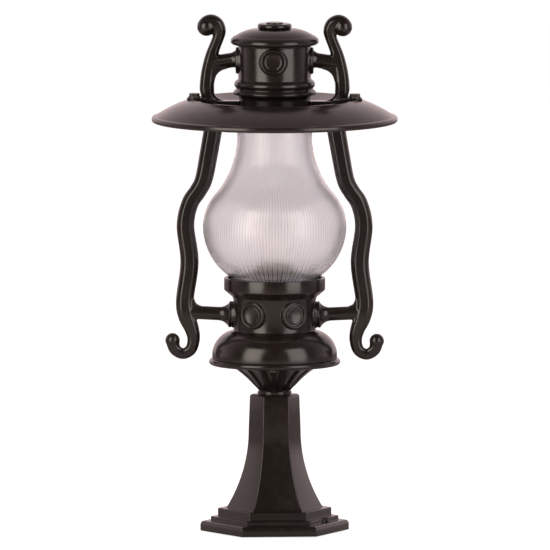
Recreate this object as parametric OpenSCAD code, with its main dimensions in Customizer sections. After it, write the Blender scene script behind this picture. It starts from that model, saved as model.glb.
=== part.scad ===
// Lantern lamp: a cast lantern head with a prismatic glass globe, on a hexagonal pedestal.
// Millimetres, +Z up. The origin is the centre of the pedestal's underside, and the two side arms lie
// along X. The head is centred on Z. The pedestal is turned a little about Z against the head.

/* [Pedestal] */
// Height of the pedestal
pedestal_h = 152; // [140:1:165]
// Turn of the pedestal about Z, in degrees
pedestal_turn = 6; // [0:1:30]
// Radius of the foot flange, to its corners
foot_r = 82; // [78:1:90]
// Thickness of the foot flange
foot_t = 12.5; // [10:0.5:15]
// Radius of the rounded top edge of the foot flange
foot_edge_r = 4.5; // [2:0.5:6]
// Radius of the lower step, to its corners
lower_step_r = 70.5; // [67:0.5:74]
// Height of the lower step
lower_step_h = 4.9; // [3:0.1:7]
// Radius of the upper step, to its corners
upper_step_r = 62.7; // [58:0.1:65]
// Height of the upper step
upper_step_h = 9.1; // [6:0.1:12]
// Radius of the column where it leaves the steps, to its corners
column_foot_r = 53.4; // [48:0.1:57]
// Radius of the column where its flare ends, to its corners
column_waist_r = 28.9; // [26:0.1:31]
// Height at which the column's flare ends
flare_top_z = 112; // [100:1:120]
// Radius of the column at its top, to its corners
column_top_r = 27.4; // [25:0.1:30]
// Radius of the rounded edge round the column's top
column_edge_r = 3.5; // [2:0.5:5]
// Wall of the hollow pedestal
pedestal_wall = 5; // [4:0.5:7]
// Thickness of the plate that closes the column's top
top_plate_t = 8; // [6:0.5:12]
// Distance between the two fixing holes in the foot
fixing_pitch = 128; // [124:1:132]
// Radius of a fixing hole
fixing_hole_r = 3.3; // [2.5:0.1:4]
// Radius of the spot face round a fixing hole
spot_face_r = 8; // [6:0.5:10]

/* [Fluted neck] */
// Height of the neck, from the pedestal to the bowl
neck_h = 39; // [34:1:46]
// Radius of the collar at the foot of the neck
neck_collar_r = 18.5; // [16:0.5:20]
// Height of that collar
neck_collar_h = 3.5; // [2:0.5:6]
// Radius of the funnel under the flange
funnel_top_r = 51; // [46:0.5:56]
// Radius of the funnel's hollow curve, seen from the side
funnel_curve_r = 105; // [80:1:140]
// Number of flutes
flute_count = 16; // [12:1:18]
// Radius of a flute's cutter
flute_r = 6; // [5:0.5:7]
// Depth of a flute
flute_depth = 2.2; // [1:0.1:3]
// Radius of the flange under the bowl
flange_r = 72; // [70:0.5:76]
// Thickness of that flange
flange_t = 6.5; // [5:0.5:8]
// Thickness of the neck's floor under the tube nut
neck_floor_t = 13; // [10:1:16]

/* [Bowl] */
// Radius of the bowl's dome at its foot
dome_r = 68.5; // [66:0.5:69]
// Radius of the dome's round shoulder
dome_curve_r = 27.3; // [25:0.1:30]
// Height at which the dome starts to turn in, above the flange
dome_skirt_h = 4; // [2:0.5:8]
// Wall of the bowl casting
bowl_wall = 4; // [3:0.5:5]
// Outer radius of the drum
drum_r = 45; // [44:0.5:47]
// Height of the collar's underside above the flange
collar_z = 73; // [68:0.5:78]
// Outer radius of the collar
collar_r = 55.5; // [54.5:0.5:58]
// Height of the collar
collar_h = 16.6; // [14:0.1:20]
// Radius of the cove between drum and collar
cove_r = 9; // [7:0.5:10]
// Depth of the globe's seat in the collar
seat_depth = 10.6; // [8:0.1:12]
// Inner radius of the ledge that carries the globe
ledge_r = 38; // [37:0.5:39]
// Height of the side bars above the flange
bar_z = 51; // [49:0.5:53]

/* [Medallions] */
// Number of medallions round the bowl
bowl_medallions = 6; // [4:2:6]
// Number of medallions round the crown
crown_medallions = 4; // [4:2:4]
// Radius of a medallion
medallion_r = 14.7; // [12:0.1:15]
// Radius of the bead round a medallion
bead_r = 1.5; // [1:0.1:2]
// Radius of the inner bead's circle
inner_bead_circle_r = 8.9; // [8:0.1:10]
// Radius of the disc in the middle
disc_r = 8.4; // [6:0.1:9]
// Rise of that disc above its boss
disc_rise = 1; // [0.5:0.1:1.5]
// Rise of a seat under a side bar, above the drum
bar_seat_rise = 2.5; // [2:0.1:3.5]

/* [Globe] */
// Height of the glass globe
globe_h = 189.5; // [185:0.5:200]
// Radius of the globe's belly
belly_r = 78.7; // [76:0.1:81]
// Height of the belly above the globe's foot
belly_z = 65; // [60:1:70]
// Radius of the belly's curve below its widest point
lower_curve_r = 67; // [64:1:70]
// Radius of the belly's curve above its widest point
upper_curve_r = 53; // [50:1:56]
// Radius of the hollow curve under the neck
throat_curve_r = 100; // [90:1:110]
// Radius of the globe's neck
globe_neck_r = 41; // [40:0.1:42]
// Radius of the globe's foot
globe_foot_r = 48.5; // [47:0.1:49.5]
// Wall of the glass
glass_t = 3; // [2.5:0.1:3.5]
// Thickness of the gasket under the globe
foot_gasket_t = 2; // [1:0.5:3]
// Thickness of the gasket on top of the globe
top_gasket_t = 3; // [2:0.5:4]

/* [Brim] */
// Radius of the brim
brim_r = 135; // [130:1:140]
// Thickness of the spun sheet
sheet_t = 2; // [1.5:0.1:3]
// Radius of the bead rolled round the brim's edge
rim_bead_r = 2.3; // [1.8:0.1:3]
// Radius of the crest, where the brim turns down
crest_r = 90; // [86:0.5:94]
// Height of the crest above the rim
crest_rise = 21.6; // [18:0.1:25]
// Radius of the brim's curve outside the crest
brim_curve_r = 134; // [100:1:170]
// Radius of the flat land in the middle
land_r = 44; // [42.5:0.5:47]
// Height of the land above the rim
land_rise = 11.2; // [10:0.1:14]
// Radius of the hole in the middle, which lets the bulb through
lamp_hole_r = 34.5; // [33:0.5:35.5]

/* [Crown] */
// Height of the crown
crown_h = 69; // [66:0.5:74]
// Wall of the crown
crown_wall = 4; // [3.5:0.1:4.5]
// Outer radius of the crown's drum
crown_r = 40; // [39:0.5:41]
// Height of the lower skirt
skirt_h = 17; // [15:0.5:19]
// Radius of the flared lip over the skirt
lip_r = 45.5; // [44:0.5:47]
// Radius of the round ring above the lip
ring_r = 4.4; // [4:0.1:4.8]
// Radius of the cove above that ring
ring_cove_r = 4; // [3:0.1:5]
// Height of the crown's medallions above the brim
crown_bar_z = 54; // [52:0.5:55]

/* [Cap] */
// Radius of the cap
cap_r = 48.4; // [46:0.1:50]
// Height of the cap's dome over its rim
cap_dome_h = 17.5; // [16:0.1:20]
// Radius of the cap's dome
cap_curve_r = 46.2; // [42:0.1:52]
// Radius of the cap's rounded rim
cap_rim_r = 4.1; // [3.5:0.1:4.5]
// Wall of the cap
cap_wall = 4; // [3:0.5:5]
// Height of the spigot that centres the cap
spigot_h = 7; // [5:0.5:9]
// Radius of the finial nut
finial_r = 18.7; // [16:0.1:21]
// Height of the finial nut's disc
finial_h = 5.4; // [4:0.1:7]
// Radius of the button on the finial nut
button_r = 9.3; // [8:0.1:11]
// Height of that button
button_h = 1.4; // [1:0.1:3]

/* [Arms and handles] */
// Width of an arm, seen from the front
arm_w = 20; // [18:0.5:21]
// Depth of an arm, front to back, as a share of its width
arm_depth_share = 0.84; // [0.7:0.02:1]
// Gap between an arm and the globe's belly
arm_gap = 9.2; // [8:0.1:12]
// Distance of an arm's top from the axis
arm_top_x = 63.5; // [62:0.5:67]
// Radius of the ball at an arm's lower end
hook_ball_r = 7.85; // [7:0.05:9]
// Radius of the bar between arm and bowl
bar_r = 7.5; // [6.5:0.1:8.5]
// Radius of the bar's end plate
bar_plate_r = 15.5; // [15:0.1:16]
// Thickness of that plate
bar_plate_t = 3; // [2:0.1:4]
// Width of a handle at its foot
handle_w = 15; // [13:0.5:16]
// Radius of the ball at a handle's upper end
handle_ball_r = 9.4; // [8.5:0.1:10]
// Radius of the bar between handle and crown
handle_bar_r = 8.2; // [7:0.1:8.5]
// Radius of that bar's seat on the crown
handle_seat_r = 11; // [9:0.5:13]
// Width of the ears that the brim bolts hold
ear_w = 17; // [15:0.5:20]
// Thickness of a handle's ear over the crest
ear_t = 1.6; // [1.5:0.1:3]

/* [Lamp] */
// Radius of the bulb's glass
bulb_r = 30; // [28:0.5:31]
// Height of the bulb's glass above its cap
bulb_glass_h = 84; // [80:1:90]
// Radius of the bulb's screw cap
bulb_cap_r = 13.1; // [13:0.1:13.2]
// Length of the bulb's screw cap
bulb_cap_h = 23; // [22:0.5:25]
// Radius of the lampholder's body
holder_r = 20; // [19:0.5:21]
// Height of the lampholder's body
holder_h = 46; // [44:0.5:50]
// Height of the lampholder's mouth above the globe's foot
holder_mouth_z = 23; // [20:0.5:26]
// Height of the holder plate's top above its flange
plate_rise = 12; // [10:0.5:14]

/* [Fastenings] */
// Outer radius of the threaded tube
tube_r = 5; // [4.5:0.1:5.5]
// Inner radius of the threaded tube
tube_bore_r = 3.6; // [3:0.1:4]
// Width across the flats of the tube nuts
tube_nut_w = 17; // [15:0.5:18]
// Radius of the arm screws and brim bolts
bolt_r = 3; // [2.5:0.1:3.5]
// Width across the flats of the brim bolts' heads and nuts
bolt_head_w = 10; // [9:0.5:11]
// Radius of the handle screws and bowl screws
screw_r = 2.1; // [1.8:0.1:2.5]
// Clearance round a screw in a plain hole
hole_gap = 0.3; // [0.2:0.05:0.5]
// Clearance round a screw in its own thread
thread_gap = 0.05; // [0.02:0.01:0.1]
// Clearance between the cap and what it lifts off
lift_gap = 0.2; // [0.1:0.05:0.4]

/* [Hidden] */
$fn = 96;

black = "#26221f";
steel = "#b9bcc0";
brass = "#c9a24e";
rubber = "#3a3a3a";
eps = 0.01;
reach = 400;

// Heights of the pieces' seats, from the floor up.
neck_z = pedestal_h;
bowl_z = neck_z + neck_h;
bar_level = bowl_z + bar_z;
collar_top = bowl_z + collar_z + collar_h;
ledge_z = collar_top - seat_depth;
globe_z = ledge_z + foot_gasket_t;
globe_top = globe_z + globe_h;
land_z = globe_top + top_gasket_t + sheet_t;
rim_z = land_z - land_rise;
crown_top = land_z + crown_h;
crown_bar_level = land_z + crown_bar_z;
seal_t = 1.2;
cap_z = crown_top + seal_t + lift_gap;
cap_top = cap_z + cap_dome_h;

// Hexagons are drawn by the distance to their flats.
flat_share = cos(30);

brim_chord = [brim_r - crest_r, -crest_rise];
// Centre of the brim's curve outside the crest.
brim_centre = [crest_r, rim_z + crest_rise] + brim_chord / 2
    + [brim_chord[1], -brim_chord[0]] / norm(brim_chord)
    * sqrt(brim_curve_r * brim_curve_r - norm(brim_chord) * norm(brim_chord) / 4);

// Height of the brim's surface at a radius, drawn in by an inset.
function curve_z(r, inset) = brim_centre[1]
    + sqrt(pow(brim_curve_r - inset, 2) - pow(r - brim_centre[0], 2));
function crest_z(inset) = curve_z(crest_r, inset);
function brim_z(r, inset) = r > crest_r ? curve_z(r, inset)
    : land_z - inset + (crest_z(inset) - land_z + inset) * max(r - land_r, 0) / (crest_r - land_r);

// ---------- shared shapes ----------

// Flat ring or washer.
module ring(outer, inner, height) {
    difference() {
        cylinder(r = outer, h = height);
        translate([0, 0, -1]) cylinder(r = inner, h = height + 2);
    }
}

// Hexagonal prism by its width across the flats.
module hexagon(width, height) cylinder(r = width / 2 / flat_share, h = height, $fn = 6);

// Hexagonal nut.
module nut(width, height, bore) {
    difference() {
        hexagon(width, height);
        translate([0, 0, -1]) cylinder(r = bore + thread_gap, h = height + 2);
    }
}

// Pan-head screw that points up, with its head's seat at z = 0.
module pan_screw(radius, length, head_r, head_h) {
    translate([0, 0, -eps]) cylinder(r = radius, h = length + eps);
    translate([0, 0, -head_h]) cylinder(r = head_r, h = head_h);
}

// Turns local Z outwards along X at an angle about the axis.
module outwards(angle) rotate([0, 0, angle]) rotate([0, 90, 0]) children();

// Copies for the left and right side.
module both_sides() for (a = [0, 180]) rotate([0, 0, a]) children();

// Two beads and a disc on a round boss that runs from inside the wall to its face.
module medallion(face, depth) {
    translate([0, 0, face - depth]) cylinder(r = medallion_r, h = depth);
    translate([0, 0, face]) {
        rotate_extrude() translate([medallion_r - bead_r, 0]) circle(bead_r);
        rotate_extrude() translate([inner_bead_circle_r, 0]) circle(bead_r * 0.8);
        translate([0, 0, -1]) cylinder(r = disc_r, h = disc_rise + 1);
    }
}

// Plain round seat for the end of a side bar.
module bar_seat(face, depth, radius) translate([0, 0, face - depth]) cylinder(r = radius, h = depth);

// Medallions round a drum, with plain seats at the two sides.
module medallions(count, drum, level, wall, seat_r) {
    for (i = [0 : count - 1]) {
        at_side = (i * 360 / count) % 180 == 0;
        translate([0, 0, level]) outwards(i * 360 / count)
            if (at_side) bar_seat(drum + bar_seat_rise, wall + bar_seat_rise, seat_r);
            else medallion(drum + 0.6, wall + 0.6);
    }
}

// Point on a smooth curve through p[i] and p[i + 1].
function curve_point(p, i, t) =
    let (a = p[max(i - 1, 0)], b = p[i], c = p[i + 1], d = p[min(i + 2, len(p) - 1)])
    0.5 * (2 * b + (c - a) * t + (2 * a - 5 * b + 4 * c - d) * t * t
           + (3 * b - a - 3 * c + d) * t * t * t);

// All points of that curve, with the same number of steps between each pair.
function curve(p, steps) = concat(
    [for (i = [0 : len(p) - 2], k = [0 : steps - 1]) curve_point(p, i, k / steps)],
    [p[len(p) - 1]]);

function reversed(points) = [for (i = [len(points) - 1 : -1 : 0]) points[i]];

// Outline of a cast bar: flat front and back with two soft ridges each. Numbers are shares of the
// half width and the half depth.
bar_outline = let (q = [[1, 0.24], [0.84, 0.68], [0.44, 1]])
    concat(q, [for (i = [2 : -1 : 0]) [-q[i][0], q[i][1]]],
           [for (i = [0 : 2]) [-q[i][0], -q[i][1]]], [for (i = [2 : -1 : 0]) [q[i][0], -q[i][1]]]);

// Round outline for a wire.
wire_sides = 8;
wire_outline = [for (i = [0 : wire_sides - 1]) [cos(i * 360 / wire_sides), sin(i * 360 / wire_sides)]];

// Sweeps an outline along a path in the XZ plane. Each path point is [x, z, half width].
module sweep(path, outline, depth_share) {
    n = len(path);
    m = len(outline);
    rings = [for (i = [0 : n - 1])
        let (ahead = path[min(i + 1, n - 1)], behind = path[max(i - 1, 0)],
             dx = ahead[0] - behind[0], dz = ahead[1] - behind[1], len_xz = norm([dx, dz]),
             across = [dz / len_xz, 0, -dx / len_xz])
        for (q = outline)
            [path[i][0], 0, path[i][1]] + path[i][2] * (q[0] * across + [0, q[1] * depth_share, 0])];
    sides = [for (i = [0 : n - 2], j = [0 : m - 1])
        let (a = i * m + j, b = i * m + (j + 1) % m) each [[a, b + m, b], [a, a + m, b + m]]];
    start_cap = [for (j = [1 : m - 2]) [0, j, j + 1]];
    end_cap = [for (j = [1 : m - 2]) (n - 1) * m * [1, 1, 1] + [0, j + 1, j]];
    polyhedron(points = rings, faces = concat(sides, start_cap, end_cap), convexity = 8);
}

// ---------- pedestal and neck ----------

// Six-sided lathe: each flat is one facet, and the outline's radii are measured to the corners.
module six_sided_turning(outline) rotate_extrude($fn = 6) polygon(outline);

steps_top = foot_t + lower_step_h + upper_step_h;
flare_drop = flare_top_z - steps_top;
flare_spread = (column_foot_r - column_waist_r) * flat_share;
// Radius of the flare's hollow curve, square to a flat, which runs out upright at its top.
flare_curve_r = (flare_drop * flare_drop + flare_spread * flare_spread) / (2 * flare_spread);

// Points down the flare, drawn in by an inset, from its top to a foot height.
flare_steps = 18;
function flare(inset, foot_z) =
    let (curve_r = flare_curve_r + inset, turn = asin((flare_top_z - foot_z) / curve_r))
    [for (k = [0 : flare_steps]) let (a = turn * k / flare_steps)
        [column_waist_r + (flare_curve_r - curve_r * cos(a)) / flat_share, flare_top_z - curve_r * sin(a)]];

// Points of a soft top edge, from the side in to the top.
edge_steps = 6;
function soft_edge(r, top, corner) = [for (k = [0 : edge_steps])
    let (a = k * 90 / edge_steps) [r - corner * (1 - cos(a)) / flat_share, top - corner * (1 - sin(a))]];

module pedestal() {
    hollow_top = pedestal_h - top_plate_t;
    inset_r = pedestal_wall / flat_share;
    color(black) rotate([0, 0, pedestal_turn]) difference() {
        six_sided_turning(concat([[0, pedestal_h]],
            reversed(soft_edge(column_top_r, pedestal_h, column_edge_r)), flare(0, steps_top),
            [[upper_step_r, steps_top], [upper_step_r, foot_t + lower_step_h],
             [lower_step_r, foot_t + lower_step_h], [lower_step_r, foot_t]],
            reversed(soft_edge(foot_r, foot_t, foot_edge_r)), [[foot_r, 0], [0, 0]]));
        six_sided_turning(concat([[0, hollow_top], [column_top_r - inset_r, hollow_top]],
            flare(pedestal_wall, -1), [[0, -1]]));
        translate([0, 0, hollow_top - 1]) cylinder(r = tube_r + hole_gap, h = top_plate_t + 2);
        for (a = [-30, 150]) rotate([0, 0, a]) translate([fixing_pitch / 2, 0, 0]) {
            translate([0, 0, -1]) cylinder(r = fixing_hole_r, h = foot_t + 2);
            translate([0, 0, foot_t]) cylinder(r = spot_face_r, h = lower_step_h);
        }
    }
}

flange_z = bowl_z - flange_t;
funnel_foot_z = neck_z + neck_collar_h;
funnel_foot = [neck_collar_r - 0.3, funnel_foot_z];
funnel_head = [funnel_top_r, flange_z];
funnel_chord = funnel_head - funnel_foot;
// Centre of the funnel's hollow curve, outside and below the neck.
funnel_centre = (funnel_foot + funnel_head) / 2 + [funnel_chord[1], -funnel_chord[0]] / norm(funnel_chord)
    * sqrt(funnel_curve_r * funnel_curve_r - norm(funnel_chord) * norm(funnel_chord) / 4);
// Radius of the neck's hollow at its top, inside the bowl's bosses.
neck_mouth_r = funnel_top_r - 11;
tube_nut_h = 5;
tube_washer_t = 1.2;
tube_end = 4;
neck_floor_z = neck_z + neck_floor_t;

module fluted_neck() {
    color(black) difference() {
        union() {
            translate([0, 0, neck_z]) cylinder(r = neck_collar_r, h = neck_collar_h + 1);
            difference() {
                rotate_extrude() difference() {
                    polygon([[0, funnel_foot_z], funnel_foot, funnel_head, [0, flange_z]]);
                    translate(funnel_centre) circle(funnel_curve_r, $fn = 360);
                }
                for (i = [0 : flute_count - 1]) rotate([0, 0, (i + 0.5) * 360 / flute_count - 90]) flute();
            }
            translate([0, 0, flange_z]) rotate_extrude() {
                square([flange_r - flange_t / 2, flange_t]);
                translate([flange_r - flange_t / 2, flange_t / 2]) circle(flange_t / 2);
            }
        }
        rotate_extrude() polygon([[0, neck_floor_z], [tube_nut_w * 0.7, neck_floor_z],
            [neck_mouth_r - 2, flange_z - 1], [neck_mouth_r, bowl_z + 1], [0, bowl_z + 1]]);
        translate([0, 0, neck_z - 1]) cylinder(r = tube_r + hole_gap, h = neck_floor_t + 2);
        at_bowl_screws() translate([0, 0, flange_z - 1]) cylinder(r = screw_r + hole_gap, h = flange_t + 2);
        at_block_screw() translate([0, 0, bowl_z - 5]) cylinder(r = small_screw_r + thread_gap, h = 6);
        at_earth_screw() translate([0, 0, bowl_z - 5]) cylinder(r = screw_r + thread_gap, h = 6);
    }
}

// Cutter for one flute: a round rod bent about the centre of the funnel's curve, with a round end.
module flute() {
    path_r = funnel_curve_r - flute_r + flute_depth;
    foot_angle = asin((funnel_foot_z - funnel_centre[1]) / funnel_curve_r);
    head_angle = asin((flange_z - flute_r - funnel_centre[1]) / path_r);
    translate([funnel_centre[0], 0, funnel_centre[1]]) rotate([90, 0, 0])
        rotate([0, 0, 180 - head_angle]) {
            rotate_extrude(angle = head_angle - foot_angle + 3, $fn = 180)
                translate([path_r, 0]) circle(flute_r, $fn = 32);
            translate([path_r, 0, 0]) sphere(flute_r * 1.02, $fn = 32);
        }
}

module threaded_tube() {
    low = neck_z - top_plate_t - tube_washer_t - tube_nut_h - tube_end;
    high = neck_floor_z + tube_washer_t + tube_nut_h + tube_end;
    color(steel) translate([0, 0, low]) ring(tube_r, tube_bore_r, high - low);
}

module tube_washers() {
    color(steel) for (z = [neck_z - top_plate_t - tube_washer_t, neck_floor_z])
        translate([0, 0, z]) ring(tube_nut_w * 0.62, tube_r + thread_gap, tube_washer_t);
}

module tube_nuts() {
    color(steel) for (z = [neck_z - top_plate_t - tube_washer_t - tube_nut_h, neck_floor_z + tube_washer_t])
        translate([0, 0, z]) nut(tube_nut_w, tube_nut_h, tube_r);
}

// ---------- bowl ----------

dome_turn_z = bowl_z + dome_skirt_h;
dome_centre_r = dome_r - dome_curve_r;
boss_circle_r = dome_r - 10.5;
boss_r = 5;
boss_h = 15;
// Thickness of the ledge that carries the globe.
ledge_t = 6;
collar_corner_r = 2.5;
small_screw_r = 1.5;

// Round shoulder of the dome from the axis out, drawn in by an inset.
module dome_outline(inset) {
    translate([0, bowl_z - inset]) square([dome_r - inset, dome_skirt_h + inset]);
    translate([0, dome_turn_z]) square([dome_centre_r, dome_curve_r - inset]);
    intersection() {
        translate([dome_centre_r, dome_turn_z]) circle(dome_curve_r - inset, $fn = 180);
        translate([dome_centre_r - 1, dome_turn_z - eps]) square(2 * dome_curve_r);
    }
}

module collar_outline() {
    base = bowl_z + collar_z;
    difference() {
        translate([0, base - cove_r]) square([collar_r - collar_corner_r, cove_r + eps]);
        translate([drum_r + cove_r, base - cove_r]) circle(cove_r);
    }
    translate([0, base]) square([collar_r - collar_corner_r, collar_h]);
    translate([0, base + collar_corner_r]) square([collar_r, collar_h - collar_corner_r]);
    translate([collar_r - collar_corner_r, base + collar_corner_r]) circle(collar_corner_r);
}

module bowl() {
    color(black) difference() {
        union() {
            rotate_extrude() {
                dome_outline(0);
                translate([0, dome_turn_z]) square([drum_r, collar_top - dome_turn_z - collar_h]);
                collar_outline();
            }
            medallions(bowl_medallions, drum_r, bar_level, bowl_wall, medallion_r + 0.3);
        }
        difference() {
            rotate_extrude() {
                dome_outline(bowl_wall);
                translate([0, dome_turn_z]) square([drum_r - bowl_wall, ledge_z - ledge_t - dome_turn_z]);
            }
            at_bowl_screws() translate([0, 0, bowl_z]) cylinder(r = boss_r, h = boss_h);
        }
        translate([0, 0, ledge_z - ledge_t - 1]) cylinder(r = ledge_r, h = seat_depth + ledge_t + 2);
        translate([0, 0, ledge_z]) cylinder(r = globe_foot_r + 3.3, h = seat_depth + 1);
        at_bowl_screws() translate([0, 0, bowl_z - 1]) cylinder(r = screw_r + thread_gap, h = boss_h - 2);
        at_holder_screws() translate([0, 0, ledge_z - ledge_t - 1])
            cylinder(r = small_screw_r + thread_gap, h = ledge_t + 2);
        both_sides() translate([drum_r - bowl_wall - 2, 0, bar_level]) rotate([0, 90, 0])
            cylinder(r = bolt_r + hole_gap, h = bowl_wall + bar_seat_rise + 4);
    }
}

module at_bowl_screws() for (a = [30, 150, 270])
    rotate([0, 0, a]) translate([boss_circle_r, 0, 0]) children();

module bowl_screws() {
    color(steel) at_bowl_screws() translate([0, 0, flange_z])
        pan_screw(screw_r, flange_t + boss_h - 5, 4, 2.5);
}

// ---------- arms ----------

seat_x = drum_r + bar_seat_rise;
bulge_x = belly_r + arm_gap + arm_w / 2;
arm_half = arm_w / 2;
bolt_x = crest_r - 2;
nut_h = 5;
washer_t = 1.2;
pad_bottom_z = brim_z(arm_top_x, sheet_t) - 3.5;
arm_span = pad_bottom_z + 2 - bar_level;
flare_r = 10;

// Arm's middle line above the bar: offset from the bulge, share of the way up to the brim, half width.
arm_rise = [[-4.5, 0.246, 1], [0, 0.422, 0.97], [-4.9, 0.53, 0.95], [-13.6, 0.591, 0.95],
            [-20.2, 0.651, 0.98], [-26, 0.783, 1.01]];
// Hook below the bar: offsets from the bulge and the bar, half width.
arm_hook = [[-8.9, -30.3, 0.67], [-5.8, -41.5, 0.6], [2.9, -46.7, 0.54], [11.2, -41.7, 0.6],
            [14.2, -31.4, 0.7]];
arm_path = concat(
    [[arm_top_x, pad_bottom_z + 2, arm_half * 1.03]],
    [for (i = [len(arm_rise) - 1 : -1 : 0]) let (q = arm_rise[i])
        [bulge_x + q[0], bar_level + q[1] * arm_span, arm_half * q[2]]],
    [[bulge_x + 0.6, bar_level + 14, arm_half * 0.98], [bulge_x - 1.4, bar_level - 4, arm_half * 0.97],
     [bulge_x - 7, bar_level - 19, arm_half * 0.8]],
    [for (q = arm_hook) [bulge_x + q[0], bar_level + q[1], arm_half * q[2]]]);
hook_end = arm_path[len(arm_path) - 1];

// Plan of an ear that reaches from a casting out to the brim bolt.
module ear_plan(from_x) {
    translate([from_x, -ear_w / 2]) square([bolt_x - from_x, ear_w]);
    translate([bolt_x, 0]) circle(ear_w / 2);
}

// Corner fillet between a bar and an arm, as a web with a hollow curve.
module fillet(radius, thickness) rotate([90, 0, 0])
    linear_extrude(height = thickness, center = true) difference() {
        translate([-4, -4]) square([radius + 4, radius + 4]);
        translate([radius, radius]) circle(radius);
    }

module right_arm_casting() {
    inner_x = bulge_x - arm_half;
    difference() {
        union() {
            sweep(curve(arm_path, 5), bar_outline, arm_depth_share);
            translate([hook_end[0], 0, hook_end[1]]) sphere(hook_ball_r, $fn = 40);
            translate([seat_x, 0, bar_level]) rotate([0, 90, 0]) {
                cylinder(r = bar_plate_r, h = bar_plate_t);
                cylinder(r = bar_r, h = bulge_x - seat_x);
                translate([0, 0, bar_plate_t - eps]) rotate_extrude() difference() {
                    square([bar_plate_r - 0.8, flare_r]);
                    translate([bar_r + flare_r, flare_r]) circle(flare_r);
                }
            }
            translate([inner_x, 0, bar_level + bar_r - 1]) mirror([1, 0, 0]) fillet(7, bar_r * 1.6);
            translate([inner_x - 1.5, 0, bar_level - bar_r + 1]) mirror([1, 0, 0]) mirror([0, 0, 1])
                fillet(4, bar_r * 1.6);
            translate([0, 0, pad_bottom_z]) linear_extrude(height = 12) ear_plan(arm_top_x - arm_half + 1);
        }
        above_brim_underside();
        translate([bolt_x, 0, pad_bottom_z - 1]) cylinder(r = bolt_r + hole_gap, h = 20);
        translate([seat_x - 1, 0, bar_level]) rotate([0, 90, 0]) cylinder(r = bolt_r + thread_gap, h = 17);
    }
}

module right_arm() color(black) right_arm_casting();
module left_arm() color(black) rotate([0, 0, 180]) right_arm_casting();

module arm_screws() {
    head_r = 5;
    wall_r = drum_r - bowl_wall;
    seat = sqrt(wall_r * wall_r - head_r * head_r) - thread_gap;
    color(steel) both_sides() translate([seat, 0, bar_level]) rotate([0, 90, 0])
        pan_screw(bolt_r, seat_x + 14 - seat, head_r, 3.3);
}

// ---------- globe and gaskets ----------

belly_level = globe_z + belly_z;
upper_centre_r = belly_r - upper_curve_r;
lower_centre_r = belly_r - lower_curve_r;
throat_centre_r = globe_neck_r + throat_curve_r;
// The throat's curve meets the belly's upper curve where both have the same tangent.
throat_rise = sqrt(pow(upper_curve_r + throat_curve_r, 2) - pow(throat_centre_r - upper_centre_r, 2));
throat_level = belly_level + throat_rise;
meet_share = upper_curve_r / (upper_curve_r + throat_curve_r);
meet_r = upper_centre_r + meet_share * (throat_centre_r - upper_centre_r);
meet_z = belly_level + meet_share * throat_rise;

// Globe's outline from the axis out, drawn in by an inset.
module globe_outline(inset) {
    translate([0, globe_z - 1]) square([globe_foot_r - inset, 14]);
    intersection() {
        union() {
            square([lower_centre_r + eps, belly_level]);
            translate([lower_centre_r, belly_level]) circle(lower_curve_r - inset, $fn = 360);
        }
        translate([0, globe_z + 4]) square([belly_r, belly_z - 4 + eps]);
    }
    intersection() {
        union() {
            translate([0, belly_level]) square([upper_centre_r + eps, meet_z - belly_level]);
            translate([upper_centre_r, belly_level]) circle(upper_curve_r - inset, $fn = 360);
        }
        translate([0, belly_level]) square([belly_r, meet_z - belly_level + eps]);
    }
    difference() {
        translate([0, meet_z]) square([meet_r + 3, throat_level - meet_z]);
        translate([throat_centre_r, throat_level]) circle(throat_curve_r + inset, $fn = 360);
    }
    translate([0, throat_level - eps]) square([globe_neck_r - inset, globe_top - throat_level + 1]);
}

module globe() {
    color("#e9e4e6", 0.4) rotate_extrude() intersection() {
        difference() {
            globe_outline(0);
            globe_outline(glass_t);
        }
        translate([0, globe_z]) square([belly_r + 1, globe_h]);
    }
}

module foot_gasket() {
    color(rubber) translate([0, 0, ledge_z])
        ring(globe_foot_r + 2.5, globe_foot_r - glass_t - 1, foot_gasket_t);
}

module top_gasket() {
    color(rubber) translate([0, 0, globe_top])
        ring(globe_neck_r + 1, globe_neck_r - glass_t - 1, top_gasket_t);
}

// ---------- brim ----------

// Everything under the brim's top surface, from the axis out, drawn in by an inset.
module under_brim(inset, base) {
    top = crest_z(inset);
    outside = brim_r + 20;
    intersection() {
        polygon([[0, base], [0, land_z - inset], [land_r, land_z - inset], [crest_r, top],
                 [outside, top + 5], [outside, base]]);
        union() {
            translate(brim_centre) circle(brim_curve_r - inset, $fn = 360);
            square([crest_r - 1, top + 1]);
        }
    }
}

module below_brim_top() rotate_extrude() under_brim(0, rim_z);

module above_brim_underside() rotate_extrude() difference() {
    translate([0, land_z - sheet_t - 20]) square([crest_r + 20, 60]);
    under_brim(sheet_t, rim_z - 30);
}

module brim() {
    color(black) difference() {
        union() {
            rotate_extrude() difference() {
                under_brim(0, rim_z + rim_bead_r / 6);
                under_brim(sheet_t, rim_z - 1);
            }
            rotate_extrude() translate([brim_r - rim_bead_r, rim_z]) circle(rim_bead_r);
        }
        translate([0, 0, land_z - sheet_t - 1]) cylinder(r = lamp_hole_r, h = sheet_t + 2);
        both_sides() translate([bolt_x, 0, rim_z]) cylinder(r = bolt_r + hole_gap, h = crest_rise + 5);
    }
}

ear_top = rim_z + crest_rise + ear_t;
bolt_head_h = 3.2;

module brim_bolts() {
    color(steel) both_sides() translate([bolt_x, 0, ear_top + washer_t]) {
        hexagon(bolt_head_w, bolt_head_h);
        translate([0, 0, -(ear_top + washer_t - pad_bottom_z + nut_h + 3)])
            cylinder(r = bolt_r, h = ear_top + washer_t - pad_bottom_z + nut_h + 3 + eps);
    }
}

module brim_washers() {
    color(steel) both_sides() translate([bolt_x, 0, ear_top])
        ring(bolt_head_w * 0.66, bolt_r + thread_gap, washer_t);
}

module brim_nuts() {
    color(steel) both_sides() translate([bolt_x, 0, pad_bottom_z - nut_h]) nut(bolt_head_w, nut_h, bolt_r);
}

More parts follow.
